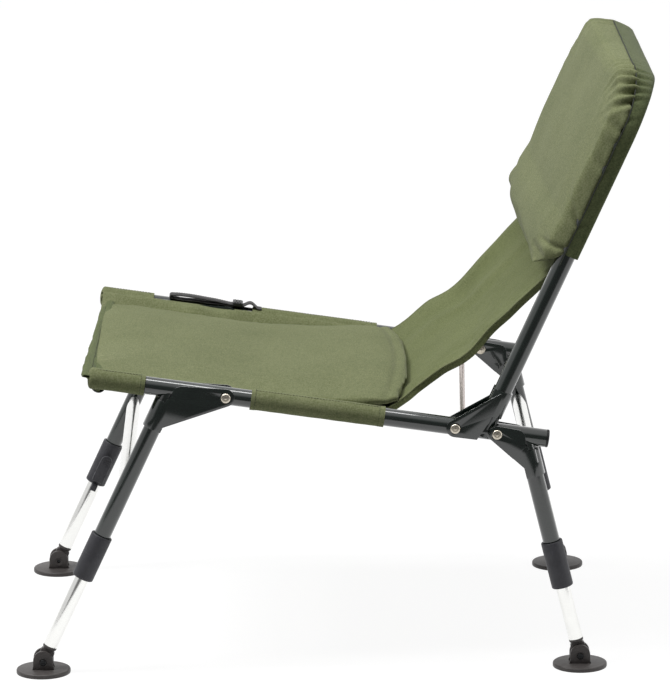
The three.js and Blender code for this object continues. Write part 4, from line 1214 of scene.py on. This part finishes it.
PAD_FROM = -188
PAD_TO = 243
PAD_HALF = 242
PAD_BULGE = 21
PAD_TOP = 6
PAD_RISE = 23
PAD_THICK = 22
PAD_CROWN = 9
PAD_INSET = 2.5
PAD_ROUND = 0.38
# Shares of the half width, the rise and the fullness, from the pad's front at 0 to its rear at 1
PAD_WIDTH_SHARES = [(0, 0.955), (0.03, 0.99), (0.08, 1), (0.5, 0.985), (0.88, 1), (0.95, 0.985), (1, 0.945)]
PAD_RISE_SHARES = [(0, 0), (0.55, 0), (0.7, 0.2), (0.8, 0.42), (0.9, 0.7), (1, 1)]
PAD_FULL_SHARES = [
    (0, 0.35), (0.03, 0.7), (0.1, 0.9), (0.3, 1), (0.9, 1), (0.97, 0.92), (0.99, 0.74), (1, 0.5),
]


def ahead_of_rear(x, s):
    """How far a place on the pad is ahead of its bowed rear edge."""
    return PAD_TO + PAD_BULGE * (1 - (x / PAD_HALF) ** 2) - s


def make_seat_pad():
    """The pad: crowned, pulled in along its sides and bowed out at the rear."""
    rows = []
    count, sides = 72, 104
    for i in range(count + 1):
        share = (1 - cos(pi * i / count)) / 2
        half = (PAD_HALF - PAD_INSET) * read(PAD_WIDTH_SHARES, share)
        full = read(PAD_FULL_SHARES, share)
        top = PAD_TOP + PAD_RISE * read(PAD_RISE_SHARES, share) - PAD_INSET
        bulge = PAD_BULGE * max(0, 2 * share - 1) ** 2
        level = PAD_FROM + PAD_INSET + (PAD_TO - PAD_FROM - 2 * PAD_INSET) * share
        row = []
        for j in range(sides):
            across, up = corner_shares(-2 * pi * j / sides, PAD_ROUND)
            middle = 1 - across ** 2
            crown = PAD_CROWN * middle * max(0, up)
            down = (PAD_THICK - PAD_INSET) * (1 - up) / 2
            height = top + full * (crown - down) - (1 - full) * PAD_CROWN
            row.append(Vector((half * across, level + bulge * middle, height)))
        rows.append(row)
    pad = skin("seat_pad_look", rows, closed=True, capped=True)

    def still(point):
        edge = min(point.y - PAD_FROM, PAD_HALF - abs(point.x), ahead_of_rear(point.x, point.y))
        return 0.9 * (1 - smoothstep(4, 14, edge))

    puff(pad, still)
    shape_points(pad, pad_creases)
    moved(pad, SEAT)
    finish(pad, "root", seat_cloth, ["seat_pad"])


def pad_creases(point, normal):
    """Soft pulls from the pad's edges, slack over its sides, and a dip ahead of the rear welt."""
    x, s, _ = point
    edge = PAD_HALF - abs(x)
    rear_gap = ahead_of_rear(x, s)
    inner = smoothstep(2, 14, edge) * smoothstep(2, 14, rear_gap) * smoothstep(2, 14, s - PAD_FROM)
    pulls = 1.1 * ripple((x * 0.25, s, 0), 26, 1) * (1 - smoothstep(10, 80, edge))
    front = 1.2 * ripple((x, s * 0.2, 3), 38, 2) * (1 - smoothstep(-180, -120, s))
    broad = 1.6 * ripple((x, s, 0), 120, 5)
    welt = -2.4 * bump_at(rear_gap, 22, 6)
    fold = -2.4 * bump_at(s - 0.35 * (abs(x) - 200), 47, 6) * (1 - smoothstep(6, 60, edge))
    return max(0, normal.z) * inner * (pulls + front + broad + welt + fold)


make_seat_sling()
make_front_hem()
make_sleeve_stitches()
make_seat_pad()


# Lumbar sling: from under the pad up to the cover's hem
SLING_HALF = 252
SLING_LENGTH = 330
SLING_SAG = 24
SLING_DROP = 3.1
SLING_BINDING_R = 1.2
# Shares of the half width, of the way to the rear and of the rise, from the sling's foot to its head
SLING_PATH = [
    (0.91, 0, 0), (0.915, 0.062, 0.022), (0.91, 0.121, 0.067), (0.87, 0.176, 0.107), (0.82, 0.251, 0.181),
    (0.85, 0.361, 0.289), (0.835, 0.487, 0.381), (0.82, 0.593, 0.515), (0.93, 0.727, 0.692),
    (0.99, 0.861, 0.859), (1, 0.916, 0.932), (1, 0.965, 0.972), (1.0, 1, 1),
]
BACK_TO_SEAT = SEAT.inverted() @ BACK
SLING_FOOT = Vector((0, DECK_END + 1, -11.6))
SLING_HEAD = BACK_TO_SEAT @ Vector((0, BACK_OFFSET + RAIL_R + 1, 288))


def curve_point(points, share):
    """A place on a smooth curve through points."""
    place = share * (len(points) - 1)
    i = min(int(place), len(points) - 2)
    t = place - i
    a, b, c, d = (Vector(points[min(max(k, 0), len(points) - 1)]) for k in (i - 1, i, i + 1, i + 2))
    squared = 2 * a - 5 * b + 4 * c - d
    cubed = 3 * b - a - 3 * c + d
    return 0.5 * (2 * b + (c - a) * t + squared * t ** 2 + cubed * t ** 3)


def sling_surface(across, share, lift=0.0):
    """A place on the lumbar sling: across from -1 to 1, and a share of its length."""
    run, rise = SLING_HEAD.y - SLING_FOOT.y, SLING_HEAD.z - SLING_FOOT.z
    path = [(SLING_HALF * w, SLING_FOOT.y + run * a, SLING_FOOT.z + rise * u) for w, a, u in SLING_PATH]
    point = curve_point(path, share)
    ahead = curve_point(path, min(1, share + 0.01)) - curve_point(path, max(0, share - 0.01))
    normal = Vector((0, -ahead.z, ahead.y)).normalized()
    loose = sin(pi * min(1, max(0, share)))
    side = abs(across)
    x = point.x * across
    along = share * SLING_LENGTH
    sag = SLING_SAG * sqrt(max(0, loose)) * (1 - across ** 2)
    fan = (x * (1 - 0.35 * (1 - share)) + 90 * (1 - share) * (1 if x > 0 else -1)) / 13
    pleats = sin(fan + 1.3 * ripple((x, 0, share * 90), 60, 7)) * smoothstep(0.15, 0.6, side)
    roll = 4.2 * loose * bump_at(side, 0.93, 0.05) * smoothstep(0.35, 0.7, share)
    crumple = 2.4 * ripple((x, along, 0), 55, 9) + 1.1 * ripple((x, along, 4), 22, 11)
    move = 2.9 * loose ** 1.2 * pleats + roll + crumple * loose + lift
    return Vector((x, point.y + sag, point.z)) + normal * move


def make_lumbar_sling():
    """The lumbar sling with turned-in sides and a binding along each of them."""
    shares = [i / 90 for i in range(91)]
    rows = []
    for share in shares:
        drop = SLING_DROP * sin(pi * min(0.98, max(0.02, share))) ** 0.3
        turned = {side: [sling_surface(side, share, -drop * k) for k in (3, 2, 1)] for side in (-1, 1)}
        across = [sling_surface(-1 + 2 * j / 120, share) for j in range(121)]
        rows.append(turned[-1] + across + turned[1][::-1])
    sling = outwards(skin("lumbar_sling_look", rows))
    smooth(thickened(sling, CLOTH), radians(60))
    bindings = []
    for side in SIDES.values():
        path = [sling_surface(side, share) for share in shares]
        bindings.append(cord_line("binding", path, SLING_BINDING_R, 10))
    binding = joined("lumbar_sling_binding", bindings)
    for piece, material in ((sling, sling_cloth), (binding, seat_cloth)):
        moved(piece, SEAT)
        finish(piece, None, material, ["lumbar_sling"] if piece is sling else [])
        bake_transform(piece)


make_lumbar_sling()


# Backrest: a cover over the frame's back and sides, and a cushion in its mouth
COVER_FROM = 285
COVER_GAP = 1.6
COVER_HALF = RAIL_X + RAIL_R + COVER_GAP
COVER_TOP = BACK_LENGTH + RAIL_R + COVER_GAP
COVER_CORNER = BACK_CORNER + RAIL_R + COVER_GAP
COVER_STRAIGHT = COVER_TOP - COVER_CORNER
COVER_BACK = -14.6
# How far each ring is grown past the outline, and its share of the way from the seam to the back
COVER_LEVELS = [(0, 0), (0.3, 0.25), (0.5, 0.5), (0.2, 0.75), (-1.2, 0.92), (-3.6, 1.0), (-8, 1.03)]
COVER_RINGS = (0.93, 0.85, 0.75, 0.64, 0.52, 0.4, 0.28, 0.16, 0.07, 0.0)


def cover_outline(grown=0.0, start=COVER_FROM):
    """The frame's outline from its left hem over the top to its right hem."""
    half, top, corner = COVER_HALF + grown, COVER_TOP + grown, COVER_CORNER + grown
    points = [(half, start + (top - corner - start) * i / 60) for i in range(60)]
    points += [(half - corner + corner * cos(a), top - corner + corner * sin(a))
               for a in (pi / 2 * i / 60 for i in range(61))]
    points += [((half - corner) * (1 - i / 40), top) for i in range(1, 41)]
    mirrored = [(-x, t) for x, t in reversed(points[:-1])]
    return points + mirrored


def along_outline(x, t):
    """How far a point is along the outline from the hem, and how far inside it."""
    side = COVER_HALF - COVER_CORNER
    x = abs(x)
    if t < COVER_STRAIGHT:
        return t - COVER_FROM, COVER_HALF - x
    corner_at = COVER_STRAIGHT - COVER_FROM
    if x > side:
        angle = atan2(t - COVER_STRAIGHT, x - side)
        return corner_at + COVER_CORNER * angle, COVER_CORNER - hypot(x - side, t - COVER_STRAIGHT)
    return corner_at + COVER_CORNER * pi / 2 + side - x, COVER_TOP - t


# Where each tuck meets the seam, and how deep it is
TUCKS = (
    (44, 1.6), (128, 1.0), (205, 1.2), (236, 2.6), (249, 3.2), (263, 3.4), (278, 2.8), (294, 2.0), (322, 1.2),
    (352, 1.0),
)
SEAM_HEIGHT = 4


def seam_height(x, t):
    """How far ahead of the frame the seam lies: more round the top corners and along the top."""
    along, _ = along_outline(x, t)
    return SEAM_HEIGHT + 15 * smoothstep(200, 340, along) + 0.8 * ripple((along, 0, 0), 40, 2)


def tuck_depth(along, share):
    """How deep the cover is tucked: along the outline, and a share of the way from the seam to the back."""
    depth = 0
    for place, deep in TUCKS:
        puckered = 0.5 * bump_at(along, place + 6 + 9 * share, 3.5)
        depth += deep * (bump_at(along, place + 10 * share, 3) - puckered)
    return depth * max(0, 1 - share)


def cover_ring(grown, share):
    row = []
    for (x, t), (base_x, base_t) in zip(cover_outline(grown), cover_outline()):
        height = seam_height(base_x, base_t)
        along, _ = along_outline(base_x, base_t)
        forward = height + (COVER_BACK - height) * share
        tuck = tuck_depth(along, share) - 0.7 * ripple((along, forward, 0), 22, 5)
        out = 1 - tuck / COVER_HALF
        row.append(Vector((x * out, BACK_OFFSET - forward, COVER_FROM + (t - COVER_FROM) * out)))
    return row


def make_cover():
    """The cover: rings from the seam round to the back, then ever smaller ones over the back."""
    rows = [cover_ring(grown, share) for grown, share in COVER_LEVELS]
    back = rows[-1]
    for scale in COVER_RINGS:
        row = []
        for point in back:
            x, t = point.x * scale, COVER_FROM + (point.z - COVER_FROM) * scale
            sag = -1.8 * (1 - scale) + 1.5 * ripple((x, t, 0), 110, 3) + 0.6 * ripple((x, t, 0), 40, 8)
            row.append(Vector((x, point.y + sag * (1 - scale ** 4), t)))
        rows.append(row)
    _, area = flat_size(rows)
    cover = skin("backrest_cover_look", rows)
    modify(cover, "WELD", merge_threshold=0.05)
    smooth(thickened(outwards_from(cover, Vector((0, BACK_OFFSET, 400))), CLOTH), radians(60))
    moved(cover, BACK)
    # The cover takes the darkened copy of the olive weave: painted shade
    finish(cover, "backrest", panel_cloth, ["backrest_cover"])
    hem = [(x, BACK_OFFSET + 15.6, COVER_FROM + 9) for x in range(-262, 263, 6)]
    thread = moved(stitches("cover_hem_stitches", hem, 3.0, 1.3, 0.3), BACK)
    finish(thread, "backrest", seam_thread)
    width = 2 * (COVER_HALF + 22) * MM
    length = (COVER_TOP - COVER_FROM + 22) * MM
    max(length, area / width * 1.01)


def outwards_from(piece, middle):
    """Turns an open surface's faces away from a point inside it."""
    mesh = bmesh.new()
    mesh.from_mesh(piece.data)
    bmesh.ops.recalc_face_normals(mesh, faces=mesh.faces)
    facing = sum(face.calc_area() * face.normal.dot(face.calc_center_median() - middle)
                 for face in mesh.faces)
    if facing < 0:
        bmesh.ops.reverse_faces(mesh, faces=mesh.faces)
    mesh.to_mesh(piece.data)
    mesh.free()
    return piece


CUSHION_FROM = 246
CUSHION_TO = COVER_TOP - 0.6
CUSHION_INSET = 3.5
# Heights up the backrest, and how far ahead of the frame the face lies there: at its middle and at its edge
CUSHION_FRONT = [
    (246, 40), (250, 48), (258, 52.5), (269, 54.5), (285, 55.5), (302, 55), (318, 52), (333, 49.5),
    (350, 50.5), (386, 52), (460, 51), (515, 51), (538, 52), (546, 51.5), (550.5, 49), (553.1, 45),
]
CUSHION_EDGE = [
    (246, 32), (252, 40), (262, 44), (276, 46), (300, 46), (333, 41.5), (350, 43), (386, 44.5), (460, 43.5),
    (515, 43.5), (530, 46), (545, 46), (553.1, 40),
]
CUSHION_TWIST = 0.035
ROLL_CORNER = 24
# How wide the panel is at the sides and the top, and the share of it that turns over the edge
PANEL_LEAN = 12
TOP_LEAN = 10
CORNER_SHARE = 0.5


def outline_half(t):
    """Half the width of the frame's outline at a height."""
    over = t - COVER_STRAIGHT
    if over > 0:
        return COVER_HALF - COVER_CORNER + sqrt(max(0, COVER_CORNER ** 2 - over ** 2))
    drawn = COVER_HALF * (1 - 0.12 * (1 - smoothstep(CUSHION_FROM - 14, COVER_FROM + 4, t)))
    low = min(1, max(0, 1 - (t - CUSHION_FROM) / ROLL_CORNER))
    return drawn - ROLL_CORNER * (1 - sqrt(1 - low ** 2))


def panel_rise(x, t, half):
    """How far up the side panel a point is, from 0 at the seam to 1 on the face, over a tight corner."""
    along, inside = along_outline(x, t)
    if t < COVER_STRAIGHT:
        inside = half - abs(x)
    share = max(0, inside) / (PANEL_LEAN + (TOP_LEAN - PANEL_LEAN) * smoothstep(230, 330, along))
    over = share - (1 - CORNER_SHARE)
    if over <= 0:
        return share
    return share - over ** 2 / (4 * CORNER_SHARE) if over < 2 * CORNER_SHARE else 1


def cushion_ring(t):
    """The cushion across the frame: a crowned face, a side panel down to the seam, and drawn in behind it."""
    half = outline_half(t) - 0.4
    low = 1 - smoothstep(CUSHION_FROM, COVER_FROM + 12, t)
    edge = read(CUSHION_EDGE, t) - CUSHION_INSET
    crown = read(CUSHION_FRONT, t) - CUSHION_INSET - edge
    ring = []
    count = 96
    for j in range(count + 1):
        across = cos(pi * j / count)
        seam = seam_height(half * across, t) + 1 + 30 * low
        reach = max(seam + 2, edge + crown * (1 - abs(across) ** 2.4) - CUSHION_TWIST * half * across)
        forward = seam + (reach - seam) * panel_rise(half * across, t, half)
        ring.append(Vector((half * across, BACK_OFFSET - forward, t)))
    seam = seam_height(half, t) + 1 + 30 * low
    inner = half - 28
    rear = [(-half + 4, seam - 3), (-inner - 4, seam - 4), (-inner, seam - 8), (-inner + 2, seam - 14)]
    rear += [(x * inner / 10, seam - 15 + 0.04 * x * x - 4 * low) for x in range(-9, 10)]
    rear += [(-x, forward) for x, forward in reversed(rear[:4])]
    return ring + [Vector((x, BACK_OFFSET - forward, t)) for x, forward in rear]


def make_cushion():
    """The back cushion: a big pillow over a bulging roll, with rounded front edges and gathered corners."""
    count = 84
    length = CUSHION_TO - CUSHION_FROM
    places = [CUSHION_FROM + length * (1 - cos(pi * i / count)) / 2 for i in range(count + 1)]
    rings = [cushion_ring(t) for t in places]
    cushion = outwards(skin("backrest_cushion_look", rings, closed=True, capped=True))

    def still(point):
        _, inside = along_outline(point.x, point.z)
        forward = BACK_OFFSET - point.y
        over = forward - seam_height(point.x, point.z)
        seam = (1 - smoothstep(3, 14, over)) * (1 - smoothstep(3, 16, inside))
        panel = 0.8 * (1 - smoothstep(9, 22, inside))
        return max(seam, panel, 1 if forward < 0 else 0)

    puff(cushion, still)
    shape_points(cushion, cushion_creases)
    moved(cushion, BACK)
    finish(cushion, "backrest", back_cloth, ["backrest_cushion"])


# Where each fold meets the seam, how deep, long and wide it is, and how it leans
GATHERS = (
    (44, 5.0, 26, 4.5, 0.9), (234, 5.0, 30, 4.6, -0.55), (249, 8.0, 24, 3.8, -0.25),
    (264, 8.5, 22, 3.6, 0.05), (280, 7.0, 28, 4.2, 0.35), (298, 4.0, 40, 5.0, 0.6),
    (322, 2.6, 50, 6.0, 0.4), (352, 2.2, 46, 6.0, 0.2), (128, 2.2, 30, 6.0, 0.5), (188, 2.6, 30, 6.0, 0.2),
)


def cushion_creases(point, normal):
    """Gathers at the top corners, the crease over the roll, and soft drag lines from the seam."""
    x, y, t = point
    forward = BACK_OFFSET - y
    along, inside = along_outline(x, t)
    if forward < -2:
        return 0
    from_seam = hypot(max(0, forward - seam_height(x, t)), max(0, inside))
    move = 0
    for place, depth, reach, wide, lean in GATHERS:
        off = along - place - lean * from_seam
        fade = exp(-(from_seam / reach) ** 1.5)
        wide += 0.1 * from_seam
        move -= depth * fade * bump_at(off, 0, wide)
        move += 0.4 * depth * fade * (bump_at(off, 1.9 * wide, wide) + bump_at(off, -1.9 * wide, wide))
    at_side = 1 - smoothstep(30, 80, inside)
    crease_at = 293 - 0.17 * forward
    move -= 4.2 * bump_at(t, crease_at, 3.4) * at_side * (1 - smoothstep(34, 46, forward))
    move += 1.3 * bump_at(t, crease_at - 11, 8) * at_side
    move += 1.2 * ripple((x * 0.5, forward, t * 0.25), 26, 2) * exp(-from_seam / 40)
    move += 1.4 * ripple((x, y, t), 110, 6)
    return move


def make_seam():
    """The dark joining seam between the cushion and the cover."""
    path = [(x, BACK_OFFSET - seam_height(x, t) - 0.6, t) for x, t in cover_outline(0.25, CUSHION_FROM + 22)]
    seam = moved(cord_line("backrest_seam", path, 0.85, 10), BACK)
    finish(seam, "backrest", seam_thread)


make_cover()
make_cushion()
make_seam()


# Carry strap: flat webbing laid in a loop on the right rail, with a buckle
STRAP_WIDTH = 19
STRAP_THICK = 1.3
STRAP_CROWN = 1.6
STRAP_TURN = 2.6
STRAP_FOLD = -86
STRAP_LEVEL = RAIL_R + 0.5
STITCH_LINE = 0.78
BUCKLE_PLACE = 12
BUCKLE = (25, 15, 5)
BUCKLE_RIBS = (-4.2, 0, 4.2)


def strap_runs():
    """The strap from the side, as places along and above the rail: lower run, fold, upper run and end."""
    low = STRAP_LEVEL + 0.8
    lower = [(6 - 8 * i / 10, low) for i in range(11)]
    lower += [(-2 - 84 * i / 40, low + 0.35 * sin(i / 3)) for i in range(1, 41)]
    fold = [(STRAP_FOLD - STRAP_TURN * 1.5 * sin(a), low + STRAP_TURN - STRAP_TURN * cos(a))
            for a in (pi * i / 14 for i in range(1, 14))]
    upper = []
    for i in range(45):
        wave = 0.9 * sin(i / 7) - 2.6 * smoothstep(30, 44, i)
        upper.append((STRAP_FOLD + 90 * i / 44, low + 2 * STRAP_TURN + wave))
    end = [(4 + 16 * i / 10, STRAP_LEVEL + 3.4) for i in range(1, 11)]
    for i in range(1, 23):
        hump = 5.6 * sin(pi * i / 22) ** 1.4
        end.append((20 + 22 * i / 22, STRAP_LEVEL + 3.4 - 1.4 * i / 22 + hump))
    end += [(42 + 2 * i, STRAP_LEVEL + 1.8) for i in range(1, 4)]
    return lower, fold, upper, end


def strap_point(across, s, n, lift=0.0):
    """A place on the strap: across from -1 to 1, at a place along the rail and a height above it."""
    x = -RAIL_X + across * STRAP_WIDTH / 2 + 0.6 * sin(s / 14)
    return Vector((x, s, n + lift - STRAP_CROWN * across ** 2))


def make_strap():
    lower, fold, upper, end = strap_runs()
    rows = [[strap_point(-1 + j / 4, s, n) for j in range(9)] for s, n in lower + fold + upper + end]
    strap = outwards(skin("carry_strap_look", rows))
    smooth(thickened(strap, STRAP_THICK), radians(60))
    runs = []
    for across in (-STITCH_LINE, STITCH_LINE):
        line = [strap_point(across, s, n, 0.75) for s, n in upper[2:42]]
        runs.append(stitches("run", line, 2.4, 1.2, 0.25))
    thread = joined("carry_strap_stitches", runs)
    buckle = shifted(make_buckle(), -RAIL_X, BUCKLE_PLACE, STRAP_LEVEL + 3.6)
    for piece, material in ((strap, strap_webbing), (thread, black_metal), (buckle, cap_plastic)):
        moved(piece, SEAT)
        finish(piece, "root", material, ["carry_strap"] if piece is strap else [])


def make_buckle():
    """A ladder buckle: a flat frame with rounded sides and three ribs across it."""
    rim = block("carry_strap_buckle", *BUCKLE)
    rim.pick("edges", lambda edge: abs(edge.verts[0].co.z - edge.verts[1].co.z) > 1).bevel(3, 4)
    rim.pick("faces", lambda face: face.normal.z > 0.9 and face.calc_area() > 100)
    rim.inset(2.2).inset(0.7, -1.1)
    pieces = [smooth(round_edges(rim.done(), 0.5))]
    for place in BUCKLE_RIBS:
        rib = rod("rib", 1.5, 20, "X", 16)
        rib.pick("faces", is_end).inset(0.5)
        pieces.append(shifted(smooth(rib.done()), 0, place, 2))
    return joined("carry_strap_buckle", pieces)


make_strap()


# Studio
WORLD_LIGHT = 0.17
WHITE = (1, 1, 1, 1)
BLACK = (0, 0, 0, 1)


def make_world():
    """White where the camera, metal and gloss see it, dim in places for gloss, and a soft light."""
    world = bpy.data.worlds.new("studio_white")
    bpy.context.scene.world = world
    world.use_nodes = True
    world.node_tree.nodes.clear()
    studio = Nodes(world.node_tree)
    seen, glossy = studio.rays()
    beside, ahead, up = studio.split(studio.node("TexCoord", {}, 0))
    front = studio.clamp(ahead, -0.45, -0.95) * studio.clamp(up, 0.75, 0.2)
    dark = studio.clamp(beside, 0.35, 0.75) * studio.clamp(up, 0.8, 0.4)
    shown = studio.math("MAXIMUM", seen, glossy)
    dim = (1 - seen) * studio.math("MAXIMUM", front * 0.3, dark * 0.85)
    white = studio.node("Background", {}, 0, Color=studio.mix(dim, WHITE, BLACK), Strength=1)
    light = studio.node("Background", {}, 0, Color=studio.mix(dark * 0.6, WHITE, BLACK), Strength=WORLD_LIGHT)
    surface = studio.node("MixShader", {}, 0, n0=shown, n1=light, n2=white)
    studio.node("OutputWorld", {}, None, Surface=surface)


PAPER_END = (1.15, 1.55)
FLOOR_GLOW = 1.31


def make_floor():
    """A pale floor that shows white round the chair's shadow, and has an end that gloss sees."""
    shade = Shade("floor_white")
    seen, glossy = shade.rays()
    beside, _, _ = shade.split(shade.place())
    beyond = shade.clamp(beside, *PAPER_END) * (1 - seen)
    shade.set(Base_Color=shade.mix(beyond, (0.6, 0.6, 0.6, 1), (0.12, 0.12, 0.12, 1)))
    shade.set(Roughness=0.9, Specular_IOR_Level=0.1)
    glow = shade.node("Emission", {}, 0, Color=shade.mix(beyond * 0.88, WHITE, BLACK), Strength=FLOOR_GLOW)
    lit = Value(shade, shade.shader.outputs[0])
    shown = shade.math("MAXIMUM", seen, glossy)
    shade.feed(shade.tree.nodes["Material Output"].inputs["Surface"],
               shade.node("MixShader", {}, 0, n0=shown * 0.7, n1=lit, n2=glow))
    floor = Bench("studio_floor", bpy.ops.mesh.primitive_plane_add, size=60).done()
    floor.data.materials.append(shade.material)


def make_lamp(name, kind, place, power, aim=(0, 0.05, 0.4), **sizes):
    light = bpy.data.lights.new(name, kind)
    light.energy = power
    for setting, value in sizes.items():
        setattr(light, setting, value)
    lamp = bpy.data.objects.new(name, light)
    bpy.context.scene.collection.objects.link(lamp)
    lamp.location = place
    lamp.rotation_euler = (Vector(place) - Vector(aim)).to_track_quat("Z", "Y").to_euler()


def make_lamps():
    """A soft key from the front and above, a long box overhead for the tubes' tops, and one past the rear."""
    make_lamp("key", "SUN", (0.2, -1.1, 2.2), 1.1, angle=radians(22))
    make_lamp("overhead", "AREA", (0.25, -0.7, 2.6), 42, (0.1, -0.7, 0),
              shape="RECTANGLE", size=3.2, size_y=0.46)
    make_lamp("rear", "AREA", (0.9, 2.6, 1.0), 9, shape="RECTANGLE", size=0.5, size_y=1.6)


make_world()
make_floor()
make_lamps()
